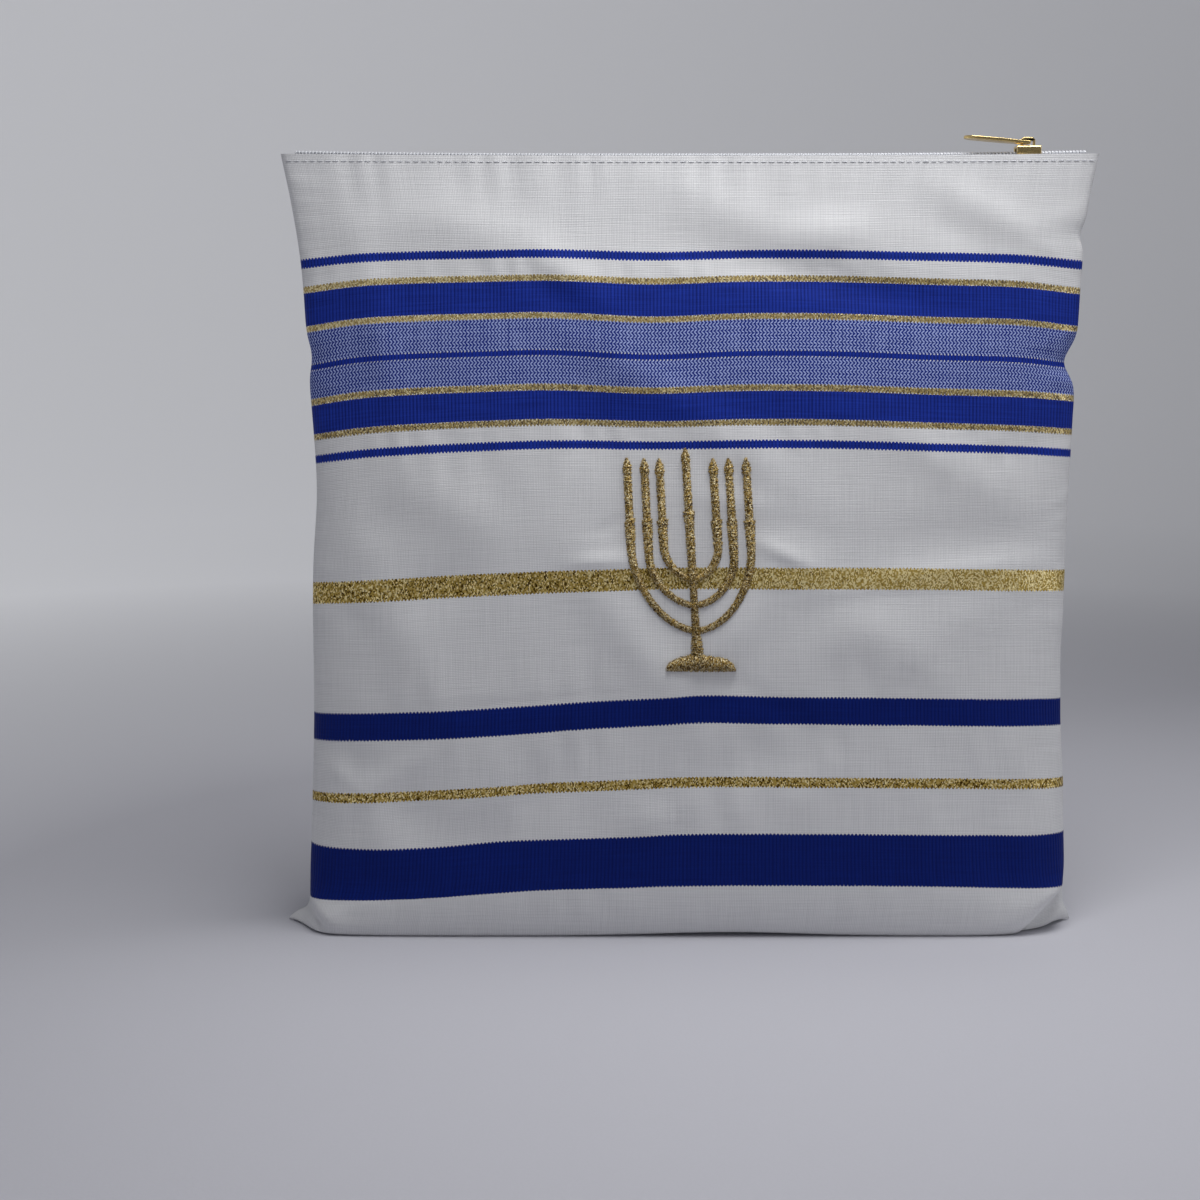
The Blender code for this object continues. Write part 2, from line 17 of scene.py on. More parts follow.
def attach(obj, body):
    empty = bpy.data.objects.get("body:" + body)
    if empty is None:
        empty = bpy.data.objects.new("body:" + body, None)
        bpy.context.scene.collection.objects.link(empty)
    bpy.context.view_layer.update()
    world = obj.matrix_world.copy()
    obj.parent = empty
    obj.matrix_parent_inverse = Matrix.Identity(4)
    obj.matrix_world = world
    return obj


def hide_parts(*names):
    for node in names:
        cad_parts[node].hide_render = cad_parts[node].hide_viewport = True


bl_info = {
    "name": "Tallit Bag",
    "version": (1, 0, 0),
    "blender": (4, 5, 0),
    "location": "3D View > Sidebar > Tallit Bag",
    "description": "Dresses a filled-out tallit bag with striped cloth, gold embroidery and a zip",
    "category": "Add Mesh",
}

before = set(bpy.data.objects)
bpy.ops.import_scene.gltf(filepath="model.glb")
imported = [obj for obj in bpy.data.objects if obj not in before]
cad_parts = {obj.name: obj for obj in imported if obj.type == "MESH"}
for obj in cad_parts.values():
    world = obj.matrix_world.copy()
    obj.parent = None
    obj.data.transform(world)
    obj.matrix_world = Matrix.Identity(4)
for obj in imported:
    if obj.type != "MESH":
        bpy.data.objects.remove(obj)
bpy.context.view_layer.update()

MM = 0.001
FRONT = -1
BACK = 1


def table(kind, *rows):
    """A table's rows, with their columns by name."""
    return tuple(kind(*values) for values in rows)


# ----------------------------------------
# The form of the bag: the same tables as its solids.

SEAM_GAP = 0.15
CLOTH_HEIGHT = 317.0
HALF_CLOTH_WIDTH = 153.0
CENTRE_SHIFT = 1.85

Middle = namedtuple("Middle", "cloth depth height")
MIDDLE = table(
    Middle,
    (0, SEAM_GAP, 0),
    (10, 10, 0),
    (20, 19.8, 0),
    (24, 22, 3.3),
    (29, 23.4, 8.2),
    (34, 24.3, 13.6),
    (50, 25.2, 29.6),
    (80, 25.6, 59.6),
    (120, 25, 99.6),
    (160, 23.3, 139.5),
    (200, 20.5, 179.4),
    (240, 16.7, 219.2),
    (275, 12.4, 253.9),
    (300, 9.2, 278.7),
    (CLOTH_HEIGHT, 7.5, 295.5),
)

# The side seams: how far out and how high each is at a height up the cloth. An ear is the length over which
# the cloth flattens towards a seam, long at the pointed lower corners.
Seam = namedtuple(
    "Seam", "cloth left left_height right right_height square left_ease right_ease left_ear right_ear"
)
SEAMS = table(
    Seam,
    (0, 157, 0.6, 152.2, 0.6, 9, 12, 12, 14, 30),
    (14, 156.6, 1.4, 152, 1.4, 9, 12, 12, 13, 27),
    (22, 153.4, 4, 151.2, 3.8, 9, 10, 10, 10, 22),
    (30, 149.6, 6.2, 149.6, 7.4, 6, 6, 8, 6, 14),
    (43, 148.2, 12.6, 148.8, 16, 4, 2, 4, 1.5, 3),
    (62, 147, 32.3, 147.6, 36.8, 3.4, 1.5, 3, 0.5, 0.5),
    (82, 146.2, 51.6, 147, 57, 3, 1.4, 3, 0.5, 0.5),
    (115, 145, 84.9, 145.1, 89.6, 2.8, 1.4, 3, 0.5, 0.5),
    (160, 144.6, 131, 145.1, 136.2, 2.6, 1.6, 3, 0.5, 0.5),
    (210, 142.8, 182.6, 146, 184.7, 2.5, 2.6, 3, 0.5, 0.5),
    (245, 144.6, 219.6, 147, 220.4, 2.5, 3.6, 3.6, 0.5, 0.5),
    (280, 146.4, 256, 148, 256, 2.5, 4, 4, 0.5, 0.5),
    (300, 149.4, 277.8, 149.6, 278.2, 2.5, 4, 4, 0.5, 0.5),
    (CLOTH_HEIGHT, 153, 296.6, 152.8, 296.8, 2.5, 3, 3, 0.5, 0.5),
)

Dent = namedtuple("Dent", "side height inwards reach")
DENTS = table(
    Dent,
    (-1, 222, 1.6, 7),
    (-1, 168, 0.8, 16),
    (1, 267, 1.8, 4.5),
    (1, 220, 5, 7),
    (1, 108, 0.7, 12),
)

Fold = namedtuple("Fold", "x height turn length width rise")
FRONT_FOLDS = table(
    Fold,
    (-115, 270, 12, 22, 11.5, 1.4),
    (146, 270, -11, 14, 9.1, 1.8),
    (52, 267, 3, 16, 8.2, 1.4),
    (-75, 266, -28, 50, 11.2, 1.4),
    (51, 250, -13, 51, 7.6, -1.8),
    (-119, 237, -77, 43, 7.9, 2.2),
    (-37, 196, -71, 19, 11.5, -1.6),
    (99, 181, -29, 36, 8.9, 1.6),
    (-91, 167, -31, 24, 11.5, 1.8),
    (119, 154, 1, 49, 9.3, -1.7),
    (-95, 135, 22, 15, 8.6, -1.5),
    (119, 134, 31, 40, 11.5, 1.4),
    (-116, 130, -62, 56, 11.5, 1.9),
    (76, 114, -30, 21, 11.5, 2),
    (29, 72, 14, 26, 11.5, -1.6),
    (-57, 56, 50, 40, 11.5, -1.9),
    (-134, 55, -47, 37, 11.5, 1.6),
    (-88, 42, -17, 26, 11.5, -1.3),
    (123, 24, -63, 56, 9.5, -1.5),
)
BACK_FOLDS = table(
    Fold,
    (-58, 264, 22, 58, 13, 2.2),
    (-74, 236, 18, 52, 13, -1.8),
    (56, 258, -16, 56, 14, 1.8),
    (30, 214, -6, 40, 11, -1.8),
    (-96, 160, 32, 50, 10, 2),
    (20, 170, 10, 70, 14, 1.4),
    (84, 130, -26, 54, 11, -1.6),
    (-20, 96, -8, 60, 14, 1.2),
    (96, 58, -12, 36, 12, 1.3),
)

# The front's lower edge, lifted off the floor a little right of the middle.
LIFT_X = 16.0
LIFT_REACH = 42.0
LIFT_HEIGHT = 26.0
LIFT = 2.3
BASE_REACH = 20.0  # the lift and the sway grow over this height, and the sway fades over it below the zip
FOLD_LOW = 30.0  # folds and creases start at this height up the cloth
FOLD_GROWTH = 30.0  # and reach their full rise over this height
FOLD_TOP_GAP = 25.0  # and fade out over this height below the zip

# ----------------------------------------
# What the fine cloth adds: creases too small for the solids, and the pull of the seams.

FRONT_CREASES = table(
    Fold,
    (-2, 203, -36, 56, 8.7, 1.2),
    (38, 145, -18, 14, 9, 1.6),
    (61, 118, 24, 24, 9.2, 0.8),
    (-21, 116, -55, 45, 10.2, 1.8),
    (12, 116, 41, 31, 10.2, 1.4),
    (98, 269, -39, 19, 6.1, -0.7),
    (123, 269, -32, 36, 6.3, 1.4),
    (-44, 251, -42, 18, 6, 0.9),
    (-130, 248, 10, 14, 4, 1),
    (-52, 245, -42, 18, 6, -0.7),
    (133, 190, 19, 17, 6.7, -1.6),
    (17, 168, -9, 17, 4.7, 0.7),
    (-116, 160, 31, 9, 6.3, -1),
    (-28, 146, 4, 11, 4.8, 1.4),
    (92, 141, 9, 38, 4, 0.9),
    (121, 143, 3, 49, 4.5, 0.7),
    (115, 131, -9, 34, 7.1, -0.6),
    (-135, 128, -35, 14, 5.4, -1.6),
    (31, 92, -30, 30, 5, -0.6),
    (-76, 91, 5, 44, 3.1, -0.5),
    (-134, 71, -14, 17, 5.6, -1.7),
    (-118, 60, 35, 23, 4.6, 1.5),
    (-133, 62.5, -32, 10, 3, 0.9),
    (-13, 48, 22, 12, 6.7, 1.1),
    (33, 150, -24, 10, 2.2, 0.8),
    (35, 144, -20, 8, 2.2, -0.4),
    (33, 138.5, 0, 9, 2, 0.4),
    (-36, 146.5, 6, 9, 2.2, 0.6),
    (-35, 154, 8, 8, 2, 0.4),
    (-31, 158.5, 38, 7, 2, -0.4),
    (2, 283, -25, 28, 9, 1.2),
    (104, 279, -20, 22, 8, 0.9),
    (140, 226, -50, 13, 3.2, 0.8),
    (139, 214, 40, 12, 3.2, 0.7),
    (-138, 224, 50, 12, 3, 0.6),
)
BACK_CREASES = table(
    Fold,
    (-140, 262, 38, 13, 3, 0.9),
    (-137, 250, 26, 15, 3, -0.7),
    (139, 222, -46, 13, 3.2, 0.8),
    (137, 64, -30, 14, 3.4, 0.5),
    (-136, 120, 18, 14, 3.2, 0.5),
    (12, 286, 84, 10, 3.6, 0.4),
    (-108, 204, -36, 48, 8, 1.4),
    (-36, 148, 18, 38, 7.5, 1.5),
    (-24, 136, 22, 30, 6, -1.1),
    (62, 112, -26, 40, 8.6, -1.4),
    (118, 150, 4, 46, 5, 0.9),
    (18, 62, -50, 38, 9, 1.6),
    (98, 262, 30, 26, 6.4, 1.3),
    (-92, 96, 42, 34, 8, -1.3),
    (-128, 70, 16, 20, 5.4, 1.4),
    (-30, 262, 38, 24, 6, 1.1),
)
CREASES = {FRONT: FRONT_FOLDS + FRONT_CREASES, BACK: BACK_FOLDS + BACK_CREASES}

PUCKER_SEED = 11
PUCKER_LOW = 34.0  # the first pucker's height up the cloth
PUCKER_TOP_GAP = 8.0
PUCKER_FAR = 24.0  # a pucker this far up or down the cloth adds nothing
PUCKER_SPACING = 8.5
PUCKER_REACH = 15.0
PUCKER_WIDTH = 2.6
PUCKER_RISE = 0.38
# Low upright ripples where the cloth is sewn to the zip and beside the denser stripes.
Ripple = namedtuple("Ripple", "cloth spacing reach rise")
RIPPLES = table(
    Ripple,
    (CLOTH_HEIGHT, 13, 16, 0.35),
    (276, 11.5, 5, 0.30),
    (213.5, 12.5, 5, 0.34),
    (203, 16, 7, 0.25),
    (121, 17, 7, 0.30),
    (97, 15, 8, 0.35),
    (73, 22, 9, 0.55),
    (36, 16, 7, 0.30),
)

# The lower corners: cloth set back by a share of its depth beyond the edge of a tuck, and small folds.
Tuck = namedtuple("Tuck", "side x height turn length share")
TUCKS = table(
    Tuck,
    (FRONT, 134.6, 7.6, 43, 14, 0.52),
    (BACK, -131, 8.4, -50, 13, 0.46),
)
TUCK_EDGE = 2.4
TUCK_LEAN = 16.0  # the cloth beyond a tuck leans back by its full share over this height
CORNER_FOLDS = {
    FRONT: table(
        Fold,
        (142, 2.4, 20, 9, 3.2, 4.4),
        (145.4, 11.4, 40, 4, 1.9, -2.4),
        (-142.6, 4.6, -40, 3.2, 2.4, -4),
        (-141, 6, 30, 8, 3, 0.7),
    ),
    BACK: table(
        Fold,
        (-141, 5.8, -12, 10, 3.4, 2.8),
        (132, 7, 48, 5, 2.4, -1.5),
    ),
}

# How the yarns wander up and down the cloth.
Sway = namedtuple("Sway", "side x cloth reach_x reach_cloth shift")
SWAYS = table(
    Sway,
    (FRONT, -150, 250, 16, 42, -1.4),
    (FRONT, -14, 250, 24, 42, -1.5),
    (FRONT, -58, 250, 16, 42, 0.4),
    (FRONT, 96, 250, 34, 42, -1.1),
    (FRONT, 148, 262, 18, 34, -1.5),
    (FRONT, -82, 110, 52, 22, -1.3),
    (FRONT, 6, 110, 16, 22, 0.9),
    (FRONT, 140, 110, 26, 22, 0.6),
    (FRONT, -96, 52, 34, 22, -2),
    (FRONT, -98, 41, 44, 9, -1.2),
    (FRONT, -152, 52, 14, 22, 1.8),
    (FRONT, -30, 52, 26, 22, -0.9),
    (FRONT, 148, 46, 16, 20, 1.7),
    (BACK, -104, 240, 30, 44, -1.3),
    (BACK, 22, 246, 26, 40, -1.4),
    (BACK, 126, 236, 26, 44, 0.9),
    (BACK, -40, 104, 40, 26, 1.1),
    (BACK, 88, 60, 36, 26, -1.6),
)

SHELL = 0.7
PANEL_COLUMNS = 200
PANEL_ROWS = 170
COLUMN_CROWDING = 0.12
ROW_CROWDING = 0.1
MARK_GAP = 0.2  # an even row this close to a stripe's own row is left out
ROUND_SAMPLES = 400
BACK_CLOTH_SHIFT = 7.0  # the back's stripes sit this much higher than the front's at the seams

# Thick places in the yarns come at these rates for each millimetre across a yarn and along it.
SLUB_ACROSS = 1.6
SLUB_ALONG = 0.05
# How far the ribs and the thick places shift a stripe's edge, in millimetres.
TOOTH_RIB = 0.62
TOOTH_SLUB = 0.3

# The woven stripes, from the bottom seam up.
YARN_MAP = "yarn"
STRIPE_FADE = 3.0
Stripe = namedtuple("Stripe", "low high yarn")
BLUE, GOLD, MIXED = range(3)
UPPER_STRIPES = 180.0  # below this height the same blue yarn is painted darker, as shade; above it, brighter with a painted sheen
PAINTED_GLEAM_TOP = 250.0  # painted highlight: gold above this height is painted brighter at the left
PAINTED_GLEAM_LOW = 160.0  # painted highlight: gold within a reach of this height is painted brighter at the right
PAINTED_GLEAM_REACH = 20.0
PALE_SHARE = 0.28  # of white yarn among the gold above the lower stripes, whose blue is painted darker
STRIPES = table(
    Stripe,
    (42, 62.4, BLUE),
    (80.7, 84.3, GOLD),
    (104.9, 115.2, BLUE),
    (156.4, 164.2, GOLD),
    (208.95, 211.75, BLUE),
    (217.5, 219.5, GOLD),
    (219.5, 230.3, BLUE),
    (230.3, 232.4, GOLD),
    (232.4, 242.8, MIXED),
    (242.8, 245.1, BLUE),
    (245.1, 256.8, MIXED),
    (256.8, 258.7, GOLD),
    (258.7, 270.7, BLUE),
    (270.7, 272.7, GOLD),
    (279.2, 282.05, BLUE),
)

# ----------------------------------------
# Embroidery, in its own plane: from the middle of its foot's lower edge, in the cloth's coordinates.

EMBROIDERY_X = 3.2
EMBROIDERY_CLOTH = 125.4
EMBROIDERY_LEAN = 3.7
EMBROIDERY_SLOPE = -0.0215
EMBROIDERY_TWIST = 0.0003
ARM_WIDTH = 3.0
ARC_WIDTH = 2.4
ARC_ROUND = 1.8
CANDLE_WIDTH = 2.8
CENTRE_TIP = 83.6
CUP_TOP = 56.7
CENTRE_CUP_TOP = 59.8
CUP_WIDTH = 4.0
CUP_LENGTH = 8.0
FLAME_WIDTH = 3.4
FLAME_LENGTH = 6.4
STITCH_LIFT = 0.2
# Painted shade: below the shaded height this share of a thread's colour is left, the rest darkened where the
# lower arcs and foot catch less light, and over the reach above it the rest comes back. Both are in metres.
SHADED_HEIGHT = 0.128
SHADE_REACH = 0.028
SHADE_SHARE = 0.66
# A thread's radius and the height of its arch, as shares of its length, and how unevenly threads are sewn.
ARM_THREAD = 0.075
FOOT_THREAD = 0.04
THREAD_CROWN = 0.4
STITCH_TURN = 0.24
STITCH_LENGTH = (0.94, 1.1)
FOOT_TURN = 0.1
FOOT_LENGTH = (0.96, 1.06)
PADDING_STEP = 1.6
PADDING_WIDTH = 0.47  # half the padding's width, as a share of its stroke's
PADDING_SUNK = 0.12  # how far the padding's edge lies under the cloth's face
Arm = namedtuple("Arm", "half_width top depth tip")
ARMS = table(
    Arm,
    (10.2, 46.5, 11.8, 79.7),
    (16, 43, 18.2, 79.8),
    (22.6, 46, 30.7, 80),
)
Stem = namedtuple("Stem", "height width")
STEM = table(
    Stem,
    (5.5, 4.4),
    (9.3, 4),
    (12.5, 3.3),
    (16, 2.8),
    (24, 2.6),
    (33.6, 2.6),
    (34.9, 4.3),
    (37.2, 3.3),
    (40, 2.8),
)
FOOT_CREST = 1.9  # how many times higher the foot's padding is than an arm's
Foot = namedtuple("Foot", "x low high")
FOOT = table(
    Foot,
    (-12.2, 0, 1.4),
    (-11.2, 0, 2.9),
    (-9.5, 0, 4.1),
    (-6.5, 0, 5.2),
    (-3.2, 0, 6.1),
    (-0.5, 0, 6.9),
    (3.1, 0, 6),
    (6.9, 0, 5.5),
    (10.4, 0, 5.1),
    (12.6, 0, 3.6),
    (14.2, 0, 1),
)

# ----------------------------------------
# Zip.

TAPE_SUNK = 0.4
COIL_END = 0.955  # share of the zip's half width that the coil reaches
COIL_OUT = 0.62
COIL_UP = 0.85
COIL_SLANT = 0.12
COIL_POINTS = 160
TOPSTITCH_DROP = 2.4
TOPSTITCH_OUT = 0.08
TOPSTITCH_END = 0.975
TOPSTITCH_POINTS = 240
SHARP_EDGE = 25.0  # the metal's edges that turn by more degrees than this are rounded

# Stage and camera.
CAMERA_PLACE = (-0.03185, -0.7217, 0.234)
CAMERA_PITCH = 8.34
CAMERA_LENS = 56.6
SENSOR = 36.0
# The wall's glow starts this far out from the middle of the floor, and grows over a reach, in metres.
GLOW_START = 0.3
GLOW_REACH = 0.75
FLOOR_SHADE = 0.96
STAGE_SIDES = 96


# ========================================
# The form


def share_of(value):
    """A value kept between nothing and the whole."""
    return np.clip(value, 0.0, 1.0)


def read_table(rows, column, at):
    """The value of a table's column at a height up the cloth, on a smooth curve that never overshoots."""
    known = np.array([row[0] for row in rows])
    values = np.array([getattr(row, column) for row in rows])
    steps = np.diff(known)
    slopes = np.diff(values) / steps
    tangents = np.concatenate(([slopes[0]], (slopes[1:] + slopes[:-1]) / 2, [slopes[-1]]))
    turning = slopes[1:] * slopes[:-1] <= 0
    tangents[1:-1][turning] = 0.0
    limit = 3 * np.minimum(np.abs(np.append(slopes, slopes[-1])), np.abs(np.insert(slopes, 0, slopes[0])))
    tangents = np.clip(tangents, -limit, limit)
    place = int(np.clip(np.searchsorted(known, at) - 1, 0, len(steps) - 1))
    t = (at - known[place]) / steps[place]
    rise = (1 - t) ** 2 * (1 + 2 * t) * values[place] + t**2 * (3 - 2 * t) * values[place + 1]
    bend = t * (1 - t) ** 2 * tangents[place] - t**2 * (1 - t) * tangents[place + 1]
    return rise + bend * steps[place]


def at_seam(column, left, cloth):
    """The side seams' value at a height up the cloth: the left seam's where `left`, else the right's."""
    ends = (read_table(SEAMS, end + column, cloth) for end in ("left", "right"))
    return np.where(left, *ends)


def rounded_row(across, width, depth, square, ear):
    """Shares of a row's half width and depth at `across`, evenly spaced along the cloth."""
    turn = np.linspace(0.0, pi / 2, ROUND_SAMPLES)
    out = np.sin(turn) ** (2 / square)
    deep = np.cos(turn) ** (2 / square)
    deep[-1] = 0.0
    from_seam = (1 - out) * width / ear
    deep *= from_seam / (1 + from_seam**6) ** (1 / 6)
    length = np.concatenate(([0.0], np.cumsum(np.hypot(np.diff(out) * width, np.diff(deep) * depth))))
    place = np.abs(across) * length[-1]
    return np.sign(across) * np.interp(place, length, out), np.interp(place, length, deep)


def fold_rise(folds, x, height):
    """How far soft folds stand out at a place on a panel."""
    total = np.zeros_like(x)
    for fold in folds:
        turn = radians(fold.turn)
        along = (x - fold.x) * cos(turn) + (height - fold.height) * sin(turn)
        beside = (height - fold.height) * cos(turn) - (x - fold.x) * sin(turn)
        total += fold.rise * np.exp(-((along / fold.length) ** 2) - (beside / fold.width) ** 2)
    return total


def dent_depth(seam_side, height):
    """How far a side seam is drawn in at a height."""
    total = np.zeros_like(height)
    for dent in DENTS:
        here = dent.inwards * np.exp(-(((height - dent.height) / dent.reach) ** 2))
        total += np.where(seam_side == dent.side, here, 0.0)
    return total


def pucker_rows(side):
    """Where the puckers start along each side seam: (seam side, cloth height, share of full rise, slope)."""
    chance = np.random.RandomState(PUCKER_SEED + side)
    rows = []
    for seam_side in (-1, 1):
        cloth = PUCKER_LOW
        while cloth < CLOTH_HEIGHT - PUCKER_TOP_GAP:
            rows.append((seam_side, cloth, chance.uniform(0.25, 1.0), chance.uniform(-0.5, 0.5)))
            cloth += PUCKER_SPACING * chance.uniform(0.6, 1.5)
    return rows


def pucker_rise(rows, across, cloth):
    """Short ridges that run in from the side seams, where the seam's thread gathers the cloth."""
    total = np.zeros_like(across)
    inwards = (1 - np.abs(across)) * HALF_CLOTH_WIDTH
    for seam_side, start, share, slope in rows:
        if abs(cloth - start) > PUCKER_FAR:
            continue
        beside = (cloth - start - slope * inwards) / PUCKER_WIDTH
        ridge = PUCKER_RISE * share * np.exp(-(beside**2) - (inwards / PUCKER_REACH) ** 2)
        total += np.where(np.sign(across) == seam_side, ridge, 0.0)
    return total


def ripple_rise(side, across, cloth):
    """How far the upright ripples stand out along a row of cloth."""
    total = np.zeros_like(across)
    for order, ripple in enumerate(RIPPLES):
        phase = across * HALF_CLOTH_WIDTH * 2 * pi / ripple.spacing
        wave = np.sin(phase + 1.3 * np.sin(phase * 0.31 + side) + 2.0 * side + 1.7 * order)
        swell = 0.65 + 0.35 * np.sin(phase * 0.17 + 2.3 * order)
        total += ripple.rise * swell * wave * np.exp(-(((cloth - ripple.cloth) / ripple.reach) ** 2))
    return total * (1 - across**6)


def tucked(side, x, height):
    """The share of its depth by which the cloth is set back beyond the edges of the tucks."""
    total = np.zeros_like(x)
    for tuck in TUCKS:
        if tuck.side != side:
            continue
        turn = radians(tuck.turn)
        along = (x - tuck.x) * cos(turn) + (height - tuck.height) * sin(turn)
        beyond = abs((x - tuck.x) * sin(turn)) * np.sign((x - tuck.x) * np.sign(tuck.x))
        beyond = beyond - (height - tuck.height) * cos(turn)
        step = share_of(beyond / TUCK_EDGE)
        leant = tuck.share * share_of(0.25 + height / TUCK_LEAN)
        total += leant * step * step * (3 - 2 * step) * np.exp(-((along / tuck.length) ** 4))
    return total


def panel_row(side, across, cloth, inset=0.0, puckers=()):
    """One row of a panel's points, in millimetres: its outer face, or a face `inset` further in."""
    across = np.asarray(across, float)
    ahead, behind = min(cloth + 0.5, CLOTH_HEIGHT), max(cloth - 0.5, 0.0)
    forwards = read_table(MIDDLE, "depth", ahead) - read_table(MIDDLE, "depth", behind)
    upwards = read_table(MIDDLE, "height", ahead) - read_table(MIDDLE, "height", behind)
    run = np.hypot(forwards, upwards)
    inwards_back, inwards_up = upwards / run, forwards / run

    depth = read_table(MIDDLE, "depth", cloth)
    middle_height = read_table(MIDDLE, "height", cloth)
    left = across < 0
    width, seam_height, ease = (at_seam(column, left, cloth) for column in ("", "_height", "_ease"))
    square = read_table(SEAMS, "square", cloth)

    rounded = []
    for end in ("left", "right"):
        half_width, ear_length = read_table(SEAMS, end, cloth), read_table(SEAMS, end + "_ear", cloth)
        rounded.append(rounded_row(across, half_width, depth, square, ear_length))
    out_share, depth_share = (np.where(left, *shares) for shares in zip(*rounded))
    height = middle_height + (seam_height - middle_height) * np.abs(across) ** ease
    ear = inset * (1.0 + 1.4 * inwards_up)
    drawn_in = dent_depth(np.where(left, -1, 1), height) * np.abs(across) ** 8
    from_seam = (1 - np.abs(across)) * HALF_CLOTH_WIDTH
    x = out_share * (width - ear) - np.sign(across) * drawn_in
    deep = SEAM_GAP + max(depth - SEAM_GAP - inset * inwards_back, 0.0) * depth_share

    upright = share_of((cloth - FOLD_LOW) / FOLD_GROWTH)
    upright = upright * share_of((CLOTH_HEIGHT - cloth) / FOLD_TOP_GAP)
    deep = deep + fold_rise(CREASES[side], x, height) * depth_share**2 * upright
    deep = deep * (1 - tucked(side, x, height)) + fold_rise(CORNER_FOLDS[side], x, height) * depth_share**0.4
    rippled = pucker_rise(puckers, across, cloth) + ripple_rise(side, across, cloth)
    deep = deep + rippled * share_of(from_seam / 2.0)
    if side == FRONT:
        lifted = LIFT * np.exp(-(((x - LIFT_X) / LIFT_REACH) ** 2)) * share_of(cloth / BASE_REACH)
        height = height + lifted * np.exp(-((cloth / LIFT_HEIGHT) ** 4))
    return np.stack([x + CENTRE_SHIFT, side * deep, height + inset * inwards_up], axis=-1)


def yarn_row(side, across, cloth, inset, puckers):
    """A row of a panel's points along one yarn, which wanders a little up and down the cloth."""
    sway = np.zeros_like(across)
    for wave in SWAYS:
        if wave.side == side:
            beside = (across * HALF_CLOTH_WIDTH - wave.x) / wave.reach_x
            sway += wave.shift * np.exp(-(beside**2) - ((cloth - wave.cloth) / wave.reach_cloth) ** 2)
    sway *= share_of(cloth / BASE_REACH) * share_of((CLOTH_HEIGHT - cloth) / BASE_REACH)
    beside = (np.clip(cloth + step, 0.0, CLOTH_HEIGHT) for step in (-1, 1))
    below, above = (panel_row(side, across, row, inset, puckers) for row in beside)
    here = panel_row(side, across, cloth, inset, puckers)
    return here + (above - below) / 2 * sway[:, None]


# ========================================
# Shader and geometry node building


class Value:
    """A socket's value in a node tree. Python's operators on it add Math nodes."""

    def __init__(self, graph, socket):
        self.graph = graph
        self.socket = socket

    def maths(self, operation, *others):
        inputs = dict(enumerate((self, *others)))
        return self.graph.add(self.graph.maths_node, {"operation": operation}, inputs)

    def __add__(self, other):
        return self.maths("ADD", other)

    __radd__ = __add__

    def __mul__(self, other):
        return self.maths("MULTIPLY", other)

    __rmul__ = __mul__

    def __sub__(self, other):
        return self.maths("SUBTRACT", other)

    def __rsub__(self, other):
        return self.graph.add(self.graph.maths_node, {"operation": "SUBTRACT"}, {0: other, 1: self})

    def __truediv__(self, other):
        return self.maths("DIVIDE", other)

    def __abs__(self):
        return self.maths("ABSOLUTE")

    def sine(self):
        return self.maths("SINE")

    def floor(self):
        return self.maths("FLOOR")

    def part(self):
        return self.maths("FRACT")

    def clamped(self):
        return self.graph.add("ShaderNodeClamp", {}, {"Value": self})


class Graph:
    """Adds nodes to a tree and links them."""

    maths_node = "ShaderNodeMath"

    def __init__(self, tree):
        self.tree = tree
        tree.nodes.clear()

    def add(self, kind, settings=None, inputs=None, output=0):
        """A new node's output. Settings come first; inputs are values or links, by name or number."""
        node = self.tree.nodes.new(kind)
        for name, value in (settings or {}).items():
            if name == "stops":
                set_stops(node.color_ramp, value)
            else:
                setattr(node, name, value)
        for key, value in (inputs or {}).items():
            socket = node.inputs[key]
            if isinstance(value, Value):
                self.tree.links.new(value.socket, socket)
            else:
                socket.default_value = value
        return Value(self, node.outputs[output]) if len(node.outputs) else node

    def mix(self, share, first, second):
        """Two colours mixed by a share of the second. A plain colour is made opaque."""
        colours = (one if isinstance(one, Value) else (*one, 1.0) for one in (first, second))
        sockets = {"Factor": share, **dict(zip((6, 7), colours))}
        return self.add("ShaderNodeMix", {"data_type": "RGBA"}, sockets, 2)

    def place(self, space="Object"):
        return self.add("ShaderNodeTexCoord", {}, {}, space)

    def vector(self, x, y, z=0.0):
        return self.add("ShaderNodeCombineXYZ", {}, {"X": x, "Y": y, "Z": z})

    def parts(self, vector):
        """A vector's parts along X, Y and Z."""
        split = self.add("ShaderNodeSeparateXYZ", {}, {"Vector": vector})
        return [Value(self, output) for output in split.socket.node.outputs]


def set_stops(ramp, stops):
    """A colour ramp's stops, as (place, colour) pairs."""
    while len(ramp.elements) > 1:
        ramp.elements.remove(ramp.elements[-1])
    ramp.elements[0].position = stops[0][0]
    ramp.elements[0].color = (*stops[0][1], 1.0)
    for place, colour in stops[1:]:
        ramp.elements.new(place).color = (*colour, 1.0)


def new_material(name):
    material = bpy.data.materials.new(name)
    material.use_nodes = True
    return material, Graph(material.node_tree)


def finish_material(graph, colour, roughness, height=None, metallic=0.0, relief=0.0001, gloss=0.5):
    """The Principled shader and the output, with the surface's height as a bump of `relief` metres."""
    inputs = {"Base Color": colour, "Roughness": roughness, "Metallic": metallic, "Specular IOR Level": gloss}
    if height is not None:
        bump = graph.add("ShaderNodeBump", {}, {"Strength": 1.0, "Distance": relief, "Height": height})
        inputs["Normal"] = bump
    shader = graph.add("ShaderNodeBsdfPrincipled", {}, inputs)
    graph.add("ShaderNodeOutputMaterial", {}, {"Surface": shader})


def stripe_depths(cloth):
    """How far inside its nearest blue, gold and mixed stripe each height up the cloth is, in millimetres."""
    cloth = np.asarray(cloth, float)
    depths = np.full((len(cloth), 3), -STRIPE_FADE)
    for stripe in STRIPES:
        inside = np.minimum(cloth - stripe.low, stripe.high - cloth)
        depths[:, stripe.yarn] = np.maximum(depths[:, stripe.yarn], inside)
    return depths


